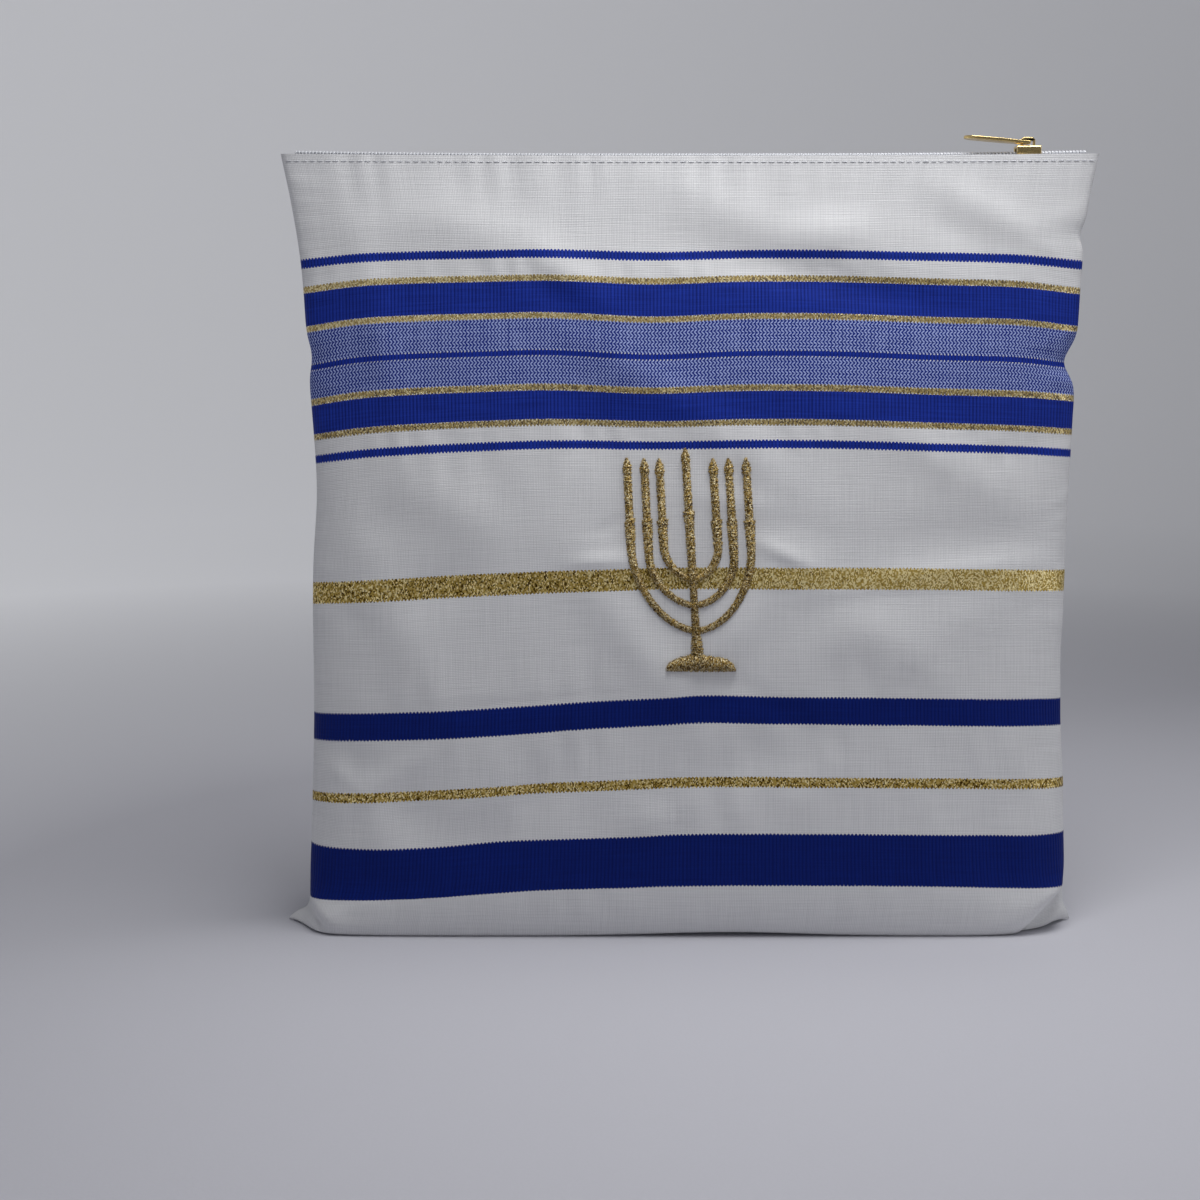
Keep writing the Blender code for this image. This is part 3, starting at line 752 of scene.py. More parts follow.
def stripe_rows():
    """Heights up the cloth where a stripe begins, is deepest or ends, and where the space between is."""
    rows = []
    for yarn in (BLUE, GOLD, MIXED):
        own = [stripe for stripe in STRIPES if stripe.yarn == yarn]
        edges = sorted(edge for stripe in own for edge in (stripe.low, stripe.high))
        rows += edges + [(low + high) / 2 for low, high in zip(edges, edges[1:])]
        rows += [edge - STRIPE_FADE for edge in edges[::2]] + [edge + STRIPE_FADE for edge in edges[1::2]]
    return rows


def striped_cloth(look):
    """Plain white weave with ribbed blue, sparkling gold and mixed stripes, from the cloth's own UV map.
    The blue is painted brighter with sheen in the upper stripes and darker below, and the gold has a painted
    highlight at one end of some stripes.
    """
    material, graph = new_material("striped_cloth")
    u, v, _ = graph.parts(graph.place("UV"))
    x, y = u * (2 * HALF_CLOTH_WIDTH), v * CLOTH_HEIGHT

    def noise(scale_x, scale_y):
        sockets = {"Vector": graph.vector(x * scale_x, y * scale_y), "Scale": 1.0, "Detail": 1.0}
        return graph.add("ShaderNodeTexNoise", {"noise_dimensions": "2D"}, sockets)

    def random(column, row):
        sockets = {"Vector": graph.vector(column, row)}
        return graph.add("ShaderNodeTexWhiteNoise", {"noise_dimensions": "2D"}, sockets)

    rib = abs((x * (pi / look.rib_pitch)).sine())
    slub = noise(SLUB_ACROSS, SLUB_ALONG) + noise(SLUB_ALONG, SLUB_ACROSS) - 1.0
    yarns = graph.add("ShaderNodeAttribute", {"attribute_name": YARN_MAP}, {}, "Vector")
    tooth = (rib - 0.5) * TOOTH_RIB + slub * TOOTH_SLUB
    blue, gold, mixed = ((depth + tooth).maths("GREATER_THAN", 0.0) for depth in graph.parts(yarns))

    weave = abs((x * (pi / look.weave_pitch)).sine()) * abs((y * (pi / look.weave_pitch)).sine())

    white_share = (0.4 + weave * 0.75 + slub * 0.38).clamped()
    white = graph.mix(white_share, look.white_shade, look.white)

    rib_light = (rib * 0.75 + slub * 0.6).clamped()
    blue_yarn = graph.mix(rib_light, look.blue_shade, look.blue)
    # Painted sheen and shade: the blue is one yarn, painted brighter in the upper stripes, where the cloth
    # leans back into the light from above, and darker in the lower ones.
    shaded_blue_yarn = graph.mix(rib_light, look.shaded_blue_shade, look.shaded_blue)
    blue_yarn = graph.mix(y.maths("GREATER_THAN", UPPER_STRIPES), shaded_blue_yarn, blue_yarn)

    row = y / look.dash
    zigzag = abs((row * 0.5).part() - 0.5) * 1.55
    dash = ((x / look.rib_pitch + zigzag) * (2 * pi)).sine() * 0.8 + abs((row * pi).sine()) * 0.7
    dash = (dash - 0.12 + slub * 0.7).clamped()
    mixed_yarn = graph.mix(dash, look.mixed_shade, look.mixed)

    column = (x / look.fleck_width).floor()
    cell = random(column, (y / look.fleck_height + random(column, 7.0)).floor())
    # Painted highlight: the gold flecks are pushed towards their bright glint at the left of the upper gold
    # lines and at the right of the wide stripe, where the metal yarn catches the light.
    aside = x / (2 * HALF_CLOTH_WIDTH)
    top_painted_gleam = y.maths("GREATER_THAN", PAINTED_GLEAM_TOP) * (1.15 - aside * 1.6).clamped()
    low_painted_gleam = abs(y - PAINTED_GLEAM_LOW).maths("LESS_THAN", PAINTED_GLEAM_REACH) * (aside * 2.4 - 0.8).clamped()
    painted_gleam = (top_painted_gleam + low_painted_gleam) * look.painted_gleam
    glint = graph.add(
        "ShaderNodeValToRGB",
        {
            "stops": [
                (0.1, tuple(look.gold_shade)),
                (0.42, tuple(look.gold)),
                (0.68, tuple(look.gold)),
                (0.92, tuple(look.gold_glint)),
            ]
        },
        {"Fac": cell + painted_gleam},
    )
    paler = y.maths("GREATER_THAN", UPPER_STRIPES) * PALE_SHARE
    glint = graph.mix(paler, glint, look.gold_pale)

    colour = graph.mix(blue, white, blue_yarn)
    colour = graph.mix(mixed, colour, mixed_yarn)
    colour = graph.mix(gold, colour, glint)
    rough = 0.86 - blue * 0.28 - mixed * 0.12 - gold * (0.34 + cell * 0.2)
    height = (1 - blue - gold) * weave * 0.55 + blue * rib + gold * (cell + rib * 0.5) + slub * 0.5
    finish_material(graph, colour, rough, height, gold * 0.5, look.relief, 0.08)
    return material


def gold_thread(look):
    """Metallic embroidery thread: bright and dark flecks along its twist, with painted shade over its lower
    part.
    """
    material, graph = new_material("gold_thread")
    place = graph.place()
    gauge = 1 / (look.fleck * MM)
    spread = graph.add("ShaderNodeMapping", {}, {"Vector": place, "Scale": (gauge, gauge, gauge * 0.8)})
    fleck = graph.add("ShaderNodeTexVoronoi", {}, {"Vector": spread, "Scale": 1.0}, "Color")
    chance = graph.add("ShaderNodeSeparateColor", {}, {"Color": fleck})
    stops = [
        (0.2, tuple(look.thread_shade)),
        (0.45, tuple(look.thread)),
        (0.62, tuple(look.thread)),
        (0.86, tuple(look.thread_glint)),
    ]
    colour = graph.add("ShaderNodeValToRGB", {"stops": stops}, {"Fac": chance})
    height = graph.parts(place)[2]
    # Painted shade: the thread is darkened towards its dark fleck colour below the shaded height.
    painted_shade = ((height - SHADED_HEIGHT) / SHADE_REACH).clamped() * (1 - SHADE_SHARE) + SHADE_SHARE
    colour = graph.mix(painted_shade, look.thread_shade, colour)
    rough = 0.62 - chance * 0.22
    finish_material(graph, colour, rough, chance, 0.35, 0.00024)
    return material


def plain_yarn(name, colour, shade, pitch, roughness=0.8, metallic=0.0):
    """Woven or wound yarn of one colour, with its threads as a fine bump."""
    material, graph = new_material(name)
    x, y, _ = (part * (pi / (pitch * MM)) for part in graph.parts(graph.place()))
    weave = x.sine() * y.sine() * 0.5 + 0.5
    finish_material(graph, graph.mix(weave, shade, colour), roughness, weave, metallic)
    return material


def polished_metal(look):
    """Gold-tone plating with fine scratches and softly rubbed edges."""
    material, graph = new_material("zip_metal")
    place = graph.place()
    stretched = graph.add("ShaderNodeMapping", {}, {"Vector": place, "Scale": (900.0, 5200.0, 5200.0)})
    scratch = graph.add("ShaderNodeTexNoise", {}, {"Vector": stretched, "Scale": 1.0, "Detail": 3.0})
    cloud = graph.add("ShaderNodeTexNoise", {}, {"Vector": place, "Scale": 260.0, "Detail": 2.0})
    colour = graph.mix(cloud, look.metal_shade, look.metal)
    finish_material(graph, colour, 0.2 + scratch * 0.16, scratch, 1.0, 0.00001)
    return material


# ========================================
# Pieces


def add_object(name, data):
    """A new object in the scene."""
    made = bpy.data.objects.new(name, data)
    bpy.context.scene.collection.objects.link(made)
    return made


def mesh_of(name, work):
    """A new mesh from a finished bmesh."""
    mesh = bpy.data.meshes.new(name)
    work.to_mesh(mesh)
    work.free()
    return mesh


def link(name, mesh, body):
    """A finished piece in the scene, on its body."""
    piece = add_object(name, mesh)
    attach(piece, body)
    return piece


def grid_mesh(name, side, columns, rows):
    """A panel of cloth as a thin shell, with the cloth's own coordinates as its UV map."""
    puckers = pucker_rows(side)
    layers = [
        np.array([yarn_row(side, columns, row, inset, puckers) for row in rows]) for inset in (0.0, SHELL)
    ]
    points = np.concatenate([layer.reshape(-1, 3) for layer in layers]) * MM
    across, up = len(columns), len(rows)
    first = (np.arange(up - 1)[:, None] * across + np.arange(across - 1)).ravel()
    quads = np.stack([first, first + 1, first + 1 + across, first + across], axis=1)
    outer = quads if side == FRONT else quads[:, ::-1]
    inner = outer[:, ::-1] + across * up
    ring = np.concatenate(
        [
            np.arange(across),
            (np.arange(1, up) + 1) * across - 1,
            (up - 1) * across + np.arange(across - 2, -1, -1),
            np.arange(up - 2, 0, -1) * across,
        ]
    )
    after = np.roll(ring, -1)
    rim = np.stack([ring, ring + across * up, after + across * up, after], axis=1)
    if side == BACK:
        rim = rim[:, ::-1]
    faces = np.concatenate([outer, inner, rim])

    mesh = bpy.data.meshes.new(name)
    mesh.from_pydata(points.tolist(), [], faces.tolist())
    shift = BACK_CLOTH_SHIFT if side == BACK else 0.0
    u = np.tile((np.asarray(columns) + 1) / 2, up)
    v = np.repeat((np.asarray(rows) - shift) / CLOTH_HEIGHT, across)
    cloth = np.tile(np.stack([u, v], axis=1), (2, 1))
    corners = np.empty(len(mesh.loops), np.int32)
    mesh.loops.foreach_get("vertex_index", corners)
    mesh.uv_layers.new(name="cloth").data.foreach_set("uv", cloth[corners].astype(np.float32).ravel())
    depths = np.tile(np.repeat(stripe_depths(np.asarray(rows) - shift), across, axis=0), (2, 1))
    mesh.attributes.new(YARN_MAP, "FLOAT_VECTOR", "POINT").data.foreach_set("vector", depths.ravel())
    mesh.shade_smooth()
    mesh.set_sharp_from_angle(angle=radians(50))
    return mesh


def crowded(count, crowding):
    """Places from -1 to 1, closer together at both ends."""
    even = np.linspace(-1.0, 1.0, count + 1)
    return even * (1 + crowding - crowding * even**2)


def node_group(name, sizes):
    """A geometry node tree with named size inputs and a material, and its graph."""
    tree = bpy.data.node_groups.new(name, "GeometryNodeTree")
    graph = Graph(tree)
    tree.interface.new_socket("Geometry", in_out="OUTPUT", socket_type="NodeSocketGeometry")
    tree.interface.new_socket("Guide", in_out="INPUT", socket_type="NodeSocketGeometry")
    for size in sizes:
        tree.interface.new_socket(size, in_out="INPUT", socket_type="NodeSocketFloat")
    tree.interface.new_socket("Finish", in_out="INPUT", socket_type="NodeSocketMaterial")
    source = tree.nodes.new("NodeGroupInput")
    inputs = {socket.name: Value(graph, socket) for socket in source.outputs if socket.name}
    return tree, graph, inputs


def along_guide(graph, sizes, step):
    """Points a step apart along the guide line."""
    line = graph.add("GeometryNodeMeshToCurve", {}, {"Mesh": sizes["Guide"]})
    return graph.add("GeometryNodeCurveToPoints", {"mode": "LENGTH"}, {"Curve": line, "Length": step})


def end_tree(graph, sizes, points, shape, turn, scale=(1.0, 1.0, 1.0)):
    """Sets a shape on every point, as plain mesh in the tree's finish."""
    sockets = {"Points": points, "Instance": shape, "Rotation": turn, "Scale": scale}
    real = graph.add(
        "GeometryNodeRealizeInstances", {}, {0: graph.add("GeometryNodeInstanceOnPoints", {}, sockets)}
    )
    painted = graph.add("GeometryNodeSetMaterial", {}, {"Geometry": real, "Material": sizes["Finish"]})
    out = graph.tree.nodes.new("NodeGroupOutput")
    graph.tree.links.new(painted.socket, out.inputs[0])


def one_finish(mesh, finish):
    """Leaves a mesh with a single material."""
    mesh.materials.clear()
    mesh.materials.append(finish)
    mesh.polygons.foreach_set("material_index", [0] * len(mesh.polygons))


def grown(name, guide, tree, values):
    """The plain mesh that a geometry node tree makes from a guide mesh."""
    source = add_object(name + "_guide", guide)
    grower = source.modifiers.new("grow", "NODES")
    grower.node_group = tree
    for socket in tree.interface.items_tree:
        if socket.in_out == "INPUT" and socket.name in values:
            grower[socket.identifier] = values[socket.name]
    made = source.evaluated_get(bpy.context.evaluated_depsgraph_get())
    mesh = bpy.data.meshes.new_from_object(made)
    mesh.name = name
    one_finish(mesh, values["Finish"])
    bpy.data.objects.remove(source, do_unlink=True)
    bpy.data.meshes.remove(guide)
    return mesh


def stitch_tree():
    """Short stitches laid end to end along a guide line."""
    tree, graph, sizes = node_group("stitch_line", ("Stitch", "Gap", "Thickness"))
    spread = along_guide(graph, sizes, sizes["Stitch"] + sizes["Gap"])
    turn = Value(graph, spread.socket.node.outputs["Rotation"])
    bead = graph.add("GeometryNodeMeshUVSphere", {}, {"Segments": 8, "Rings": 6, "Radius": 0.5})
    scale = graph.vector(sizes["Thickness"], sizes["Thickness"], sizes["Stitch"])
    end_tree(graph, sizes, spread, bead, turn, scale)
    return tree


def satin_tree():
    """Arched threads, one on each guide point, turned and stretched by the point's own values."""
    tree, graph, sizes = node_group("satin_stitch", ("Thread", "Crown"))
    top = graph.vector(0.0, 0.0, sizes["Crown"] * 2)
    arch = graph.add(
        "GeometryNodeCurveQuadraticBezier", {},
        {"Resolution": 6, "Start": (-0.5, 0.0, 0.0), "Middle": top, "End": (0.5, 0.0, 0.0)},
    )
    outline = {"Resolution": 5, "Radius": sizes["Thread"]}
    round_thread = graph.add("GeometryNodeCurvePrimitiveCircle", {}, outline)
    thread = graph.add(
        "GeometryNodeCurveToMesh", {}, {"Curve": arch, "Profile Curve": round_thread, "Fill Caps": True}
    )
    turn, span = (
        graph.add("GeometryNodeInputNamedAttribute", {"data_type": "FLOAT_VECTOR"}, {"Name": label})
        for label in ("turn", "span")
    )
    end_tree(graph, sizes, sizes["Guide"], thread, turn, span)
    return tree


def coil_tree():
    """One side of a zip's coil: wire loops, one after another along a guide line."""
    tree, graph, sizes = node_group("zip_coil", ("Pitch", "Wire", "Width", "Height", "Slant"))
    spread = along_guide(graph, sizes, sizes["Pitch"])
    loop = graph.add("GeometryNodeCurvePrimitiveCircle", {}, {"Resolution": 12, "Radius": 0.5})
    size = graph.vector(sizes["Width"], sizes["Height"], 1.0)
    shaped = graph.add("GeometryNodeTransform", {}, {"Geometry": loop, "Scale": size})
    wire = graph.add("GeometryNodeCurvePrimitiveCircle", {}, {"Resolution": 5, "Radius": sizes["Wire"]})
    ring = graph.add("GeometryNodeCurveToMesh", {}, {"Curve": shaped, "Profile Curve": wire})
    turn = graph.vector(pi / 2, 0.0, sizes["Slant"])
    end_tree(graph, sizes, spread, ring, turn)
    return tree


def line_mesh(name, points):
    """A guide line through points, in metres."""
    mesh = bpy.data.meshes.new(name)
    count = len(points)
    mesh.from_pydata([tuple(point) for point in points], [(k, k + 1) for k in range(count - 1)], [])
    return mesh


# ----------------------------------------
# Embroidery


Stroke = namedtuple("Stroke", "path widths")


def spaced(points, widths, step):
    """A stroke's points and widths again, evenly spaced along it."""
    path = np.array(points, float)
    length = np.concatenate(([0.0], np.cumsum(np.linalg.norm(np.diff(path, axis=0), axis=1))))
    places = np.linspace(0.0, length[-1], max(3, int(length[-1] / step) + 1))
    even = np.stack([np.interp(places, length, path[:, axis]) for axis in (0, 1)], axis=1)
    return Stroke(even, np.interp(places, length, widths))


def candle(base, cup_top, tip):
    """Heights up an arm's upright part and its width at each: its cup, its candle and its flame."""
    rows = (
        (base, ARM_WIDTH),
        (cup_top - CUP_LENGTH, ARM_WIDTH * 1.05),
        (cup_top - 2.4, CUP_WIDTH * 0.88),
        (cup_top - 0.2, CUP_WIDTH),
        (cup_top + 0.2, CANDLE_WIDTH),
        (tip - FLAME_LENGTH - 1.0, CANDLE_WIDTH),
        (tip - FLAME_LENGTH, CANDLE_WIDTH * 0.88),
        (tip - FLAME_LENGTH * 0.72, FLAME_WIDTH),
        (tip - FLAME_LENGTH * 0.5, FLAME_WIDTH * 0.9),
        (tip - FLAME_LENGTH * 0.28, FLAME_WIDTH * 0.66),
        (tip - FLAME_LENGTH * 0.1, FLAME_WIDTH * 0.4),
        (tip, 0.9),
    )
    return [row[0] for row in rows], [row[1] for row in rows]


def embroidery_strokes(step):
    """Every stroke of the lampstand: the stem, with its two bells, and the three pairs of arms."""
    heights, widths = candle(STEM[-1].height + 4.0, CENTRE_CUP_TOP, CENTRE_TIP)
    stem = [(0.0, row.height) for row in STEM] + [(0.0, height) for height in heights]
    strokes = [spaced(stem, [row.width for row in STEM] + widths, step)]
    angles = np.linspace(0.0, pi, 60)
    low = np.sin(angles) ** (2 / ARC_ROUND)
    out = -np.sign(np.cos(angles)) * np.abs(np.cos(angles)) ** (2 / ARC_ROUND)
    arc_widths = list(ARM_WIDTH + (ARC_WIDTH - ARM_WIDTH) * low)
    for arm in ARMS:
        curve = list(zip(arm.half_width * out, arm.top - arm.depth * low))
        heights, widths = candle(arm.top, CUP_TOP, arm.tip)
        left = [(-arm.half_width, height) for height in heights[:0:-1]]
        right = [(arm.half_width, height) for height in heights[1:]]
        strokes.append(spaced(left + curve + right, widths[:0:-1] + arc_widths + widths[1:], step))
    return strokes


def foot_edges(x):
    """The lower and upper edge of the lampstand's foot at x."""
    known = [row.x for row in FOOT]
    return np.interp(x, known, [row.low for row in FOOT]), np.interp(x, known, [row.high for row in FOOT])


class Ground:
    """The front panel's outer face under the embroidery: a grid of points that the threads lie on."""

    left, low, wide, high, step = -36.0, 118.0, 78.0, 100.0, 0.5

    def __init__(self):
        columns = np.arange(self.left, self.left + self.wide, self.step) / HALF_CLOTH_WIDTH
        rows = np.arange(self.low, self.low + self.high, self.step)
        self.grid = np.array([panel_row(FRONT, columns, row) for row in rows])

    def place(self, x, y):
        """A point of the embroidery's own plane on the cloth, with its directions across, up and out."""
        lean = radians(EMBROIDERY_LEAN)
        aside = (EMBROIDERY_X + x * cos(lean) - y * sin(lean) - self.left) / self.step
        level = x * (EMBROIDERY_SLOPE + EMBROIDERY_TWIST * y)
        cloth = (EMBROIDERY_CLOTH + level + y * cos(lean) - self.low) / self.step
        column, row = int(aside), int(cloth)
        along, up = aside - column, cloth - row
        corners = self.grid[row : row + 2, column : column + 2]
        low, high = corners[:, 0] * (1 - along) + corners[:, 1] * along
        across = corners[0, 1] - corners[0, 0]
        across /= np.linalg.norm(across)
        out = np.cross(across, high - low)
        out /= np.linalg.norm(out)
        return low * (1 - up) + high * up, across, np.cross(out, across), out


def thread_guide(name, ground, stitches):
    """Guide points with their turn and stretch, from (x, y, direction, span, rise) rows."""
    lean = radians(EMBROIDERY_LEAN)
    places, turns, spans = [], [], []
    for x, y, direction, span, rise in stitches:
        here, aside, up, out = ground.place(x, y)
        along = aside * cos(direction + lean) + up * sin(direction + lean)
        axes = Matrix((along, np.cross(out, along), out)).transposed()
        places.append(tuple((here + out * rise) * MM))
        turns.extend(axes.to_euler())
        spans.extend((span * MM,) * 3)
    mesh = bpy.data.meshes.new(name)
    mesh.from_pydata(places, [], [])
    for label, values in (("turn", turns), ("span", spans)):
        mesh.attributes.new(label, "FLOAT_VECTOR", "POINT").data.foreach_set("vector", values)
    return mesh


def padding_mesh(name, ground, rise):
    """The raised ground under the threads: a rounded ridge along each stroke, and a mound for the foot."""
    points, faces = [], []
    arch = np.linspace(0.0, pi, 7)

    def add_ridge(sections):
        start = len(points)
        count = len(arch)
        for section in sections:
            points.extend(section)
        for number in range(len(sections) - 1):
            low = start + number * count
            for k in range(count):
                there = (k + 1) % count
                faces.append([low + k, low + there, low + count + there, low + count + k])
        last = start + (len(sections) - 1) * count
        faces.append(list(range(start, start + count))[::-1])
        faces.append(list(range(last, last + count)))

    for stroke in embroidery_strokes(PADDING_STEP):
        direction = np.gradient(stroke.path, axis=0)
        direction /= np.linalg.norm(direction, axis=1)[:, None]
        sections = []
        for (x, y), (along, up), width in zip(stroke.path, direction, stroke.widths):
            section = []
            for angle in arch:
                off = cos(angle) * width * PADDING_WIDTH
                crest = sin(angle) * rise * min(1.0, width / ARC_WIDTH)
                here, _, _, out = ground.place(x + up * off, y - along * off)
                section.append((here + out * (crest - PADDING_SUNK)) * MM)
            sections.append(section)
        add_ridge(sections)

    sections = []
    for x in np.linspace(FOOT[0].x + 0.3, FOOT[-1].x - 0.3, 20):
        low, high = foot_edges(x)
        section = []
        for angle in arch:
            off = (low + high) / 2 - cos(angle) * (high - low) * PADDING_WIDTH
            crest = sin(angle) * (1.0 - 0.3 * cos(angle)) * rise * FOOT_CREST
            here, _, _, out = ground.place(x, off)
            section.append((here + out * (crest - PADDING_SUNK)) * MM)
        sections.append(section)
    add_ridge(sections)

    work = bmesh.new()
    corners = [work.verts.new(point) for point in points]
    for face in faces:
        work.faces.new([corners[k] for k in face])
    bmesh.ops.recalc_face_normals(work, faces=work.faces)
    mesh = mesh_of(name, work)
    mesh.shade_smooth()
    return mesh


def joined(name, meshes, finish):
    """Several meshes as one, in one finish."""
    work = bmesh.new()
    for mesh in meshes:
        work.from_mesh(mesh)
    whole = mesh_of(name, work)
    one_finish(whole, finish)
    whole.shade_smooth()
    return whole


# ========================================
# Settings


def colour_property(name, description, default):
    return FloatVectorProperty(
        name=name, description=description, default=default, size=3, min=0.0, max=1.0, subtype="COLOR"
    )


def plain_property(name, description, default):
    return FloatProperty(name=name, description=description, default=default, precision=3)


def length_property(name, description, default):
    return FloatProperty(name=name, description=description, default=default, precision=5, unit="LENGTH")


def power_property(name, description, default):
    return FloatProperty(name=name, description=description, default=default, unit="POWER")


class ClothSettings(bpy.types.PropertyGroup):
    """Colours and gauge of the woven cloth."""

    white: colour_property("White", "White yarn", (0.81, 0.811, 0.818))
    white_shade: colour_property("White shade", "Between the white yarns", (0.57, 0.573, 0.588))
    # Painted sheen and shade: Blue is the upper stripes' blue with a painted sheen; the darker blues below it
    # are the same yarn in painted shade.
    blue: colour_property("Blue", "Blue yarn on a rib", (0.015, 0.043, 0.38))
    blue_shade: colour_property("Blue shade", "Blue yarn between ribs", (0.006, 0.016, 0.16))
    shaded_blue: colour_property("Navy", "Darker blue yarn on a rib", (0.004, 0.018, 0.185))
    shaded_blue_shade: colour_property("Navy shade", "Darker blue yarn between ribs", (0.0025, 0.010, 0.118))
    mixed: colour_property("Mixed", "White fleck of the mixed stripe", (0.37, 0.44, 0.76))
    mixed_shade: colour_property("Mixed shade", "Blue fleck of the mixed stripe", (0.006, 0.02, 0.20))
    gold: colour_property("Gold", "Gold yarn", (0.50, 0.35, 0.083))
    gold_pale: colour_property("Pale gold", "White yarn among the upper gold stripes", (0.30, 0.285, 0.255))
    gold_shade: colour_property("Gold shade", "Dark fleck of the gold yarn", (0.058, 0.027, 0.0015))
    gold_glint: colour_property("Gold glint", "Bright fleck of the gold yarn", (1.0, 0.85, 0.45))
    rib_pitch: plain_property("Rib pitch", "From rib to rib, in millimetres", 1.36)
    dash: plain_property("Dash", "Height of a mixed stripe's dash, in millimetres", 1.08)
    fleck_width: plain_property("Fleck width", "Of a gold fleck, in millimetres", 0.40)
    fleck_height: plain_property("Fleck height", "Of a gold fleck, in millimetres", 0.55)
    # Painted highlight: how far the gold flecks are pushed towards their glint at a stripe's brighter end.
    painted_gleam: plain_property("Gleam", "Extra gleam at the brighter end of a gold stripe", 0.24)
    weave_pitch: plain_property("Weave pitch", "From yarn to yarn, in millimetres", 0.62)
    relief: length_property("Relief", "Height of the weave", 0.00011)


class EmbroiderySettings(bpy.types.PropertyGroup):
    """Gauge and colours of the raised embroidery."""

    pitch: plain_property("Stitch pitch", "From thread to thread, in millimetres", 0.34)
    rise: plain_property("Rise", "How far the padding stands out, in millimetres", 1.0)
    fleck: plain_property("Fleck", "Width of a bright fleck, in millimetres", 0.36)
    seed: IntProperty(name="Seed", description="Order of the threads' small turns", default=5)
    thread: colour_property("Thread", "Gold thread", (0.57, 0.38, 0.09))
    thread_shade: colour_property("Thread shade", "Dark fleck of the thread", (0.064, 0.029, 0.002))
    thread_glint: colour_property("Thread glint", "Bright fleck of the thread", (1.0, 0.88, 0.56))


class ZipSettings(bpy.types.PropertyGroup):
    """Gauge and colours of the zip."""

    coil_pitch: length_property("Coil pitch", "From loop to loop", 0.0013)
    coil_wire: length_property("Coil wire", "Radius of the coil's wire", 0.0003)
    coil_width: length_property("Coil width", "Width of one side's loops", 0.0018)
    coil_height: length_property("Coil height", "Height of the loops", 0.0013)
    stitch: length_property("Stitch", "Length of a topstitch", 0.0024)
    stitch_gap: length_property("Stitch gap", "Between topstitches", 0.0006)
    stitch_thread: length_property("Thread", "Thickness of the thread", 0.0004)
    edge: length_property("Rounding", "Rounding of the metal's edges", 0.00022)
    tape: colour_property("Tape", "Tape and coil", (0.72, 0.73, 0.76))
    tape_shade: colour_property("Tape shade", "Between the tape's yarns", (0.48, 0.49, 0.53))
    metal: colour_property("Metal", "Plating", (0.86, 0.66, 0.30))
    metal_shade: colour_property("Metal shade", "Duller plating", (0.70, 0.51, 0.20))


class StageSettings(bpy.types.PropertyGroup):
    """The floor and the lights."""

    floor: colour_property("Floor", "Floor", (0.56, 0.56, 0.61))
    reach: length_property("Reach", "Radius of the flat floor", 1.6)
    sweep: length_property("Sweep", "Radius of the curve up to the wall", 1.0)
    wall: length_property("Wall", "Height of the wall", 2.6)
    glow: plain_property("Glow", "Light that the wall gives off", 0.3)
    least_glow: plain_property("Least glow", "Share of the glow in front of the bag", 0.1)
    surround: colour_property("Surround", "Light from above the wall", (0.86, 0.88, 0.93))
    surround_strength: plain_property("Surround strength", "Light from above the wall", 0.04)
    top_power: power_property("Top light", "Power of the light overhead", 2.8)
    side_power: power_property("Side light", "Power of the light at the right", 1.05)


# ========================================
# Operators


class TALLITBAG_OT_panels(bpy.types.Operator):
    """Makes the front and back panels of striped cloth"""

    bl_idname = "tallitbag.panels"
    bl_label = "Cloth panels"

    def execute(self, context):
        finish = striped_cloth(context.scene.tallit_cloth)
        columns = crowded(PANEL_COLUMNS, COLUMN_CROWDING)
        for side, name in ((FRONT, "front_panel"), (BACK, "back_panel")):
            shift = BACK_CLOTH_SHIFT if side == BACK else 0.0
            even = (crowded(PANEL_ROWS, ROW_CROWDING) + 1) / 2 * CLOTH_HEIGHT
            marks = [row + shift for row in stripe_rows() if 0 < row + shift < CLOTH_HEIGHT]
            kept = [row for row in even if min(abs(row - mark) for mark in marks) > MARK_GAP]
            mesh = grid_mesh(name + "_cloth", side, columns, np.unique(kept + marks))
            mesh.materials.append(finish)
            panel = link(name + "_cloth", mesh, "bag")
            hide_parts(name)
        return {"FINISHED"}


class TALLITBAG_OT_embroidery(bpy.types.Operator):
    """Makes the raised gold lampstand of satin stitches over padding"""

    bl_idname = "tallitbag.embroidery"
    bl_label = "Embroidery"

    def execute(self, context):
        look = context.scene.tallit_embroidery
        finish = gold_thread(look)
        chance = np.random.RandomState(look.seed)
        stitches = []
        for stroke in embroidery_strokes(look.pitch):
            direction = np.gradient(stroke.path, axis=0)
            for (x, y), (along, up), width in zip(stroke.path, direction, stroke.widths):
                turn = np.arctan2(-along, up) + chance.normal(0.0, STITCH_TURN)
                span = width * chance.uniform(*STITCH_LENGTH)
                stitches.append((x, y, turn, span, chance.uniform(0.0, STITCH_LIFT)))
        foot = []
        for x in np.arange(FOOT[0].x, FOOT[-1].x, look.pitch):
            low, high = foot_edges(x)
            span = (high - low) * chance.uniform(*FOOT_LENGTH)
            turn = pi / 2 + chance.normal(0.0, FOOT_TURN)
            foot.append((x, (low + high) / 2, turn, span, chance.uniform(0.0, STITCH_LIFT)))
        tree = satin_tree()
        ground = Ground()
        arms = thread_guide("arms_guide", ground, stitches)
        arms = grown("arms", arms, tree, {"Thread": ARM_THREAD, "Crown": THREAD_CROWN, "Finish": finish})
        base = thread_guide("foot_guide", ground, foot)
        base = grown("foot", base, tree, {"Thread": FOOT_THREAD, "Crown": THREAD_CROWN, "Finish": finish})
        padding = padding_mesh("padding", ground, look.rise)
        whole = joined("menorah_threads", [padding, arms, base], finish)
        threads = link("menorah_threads", whole, "bag")
        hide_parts("menorah_embroidery")
        return {"FINISHED"}


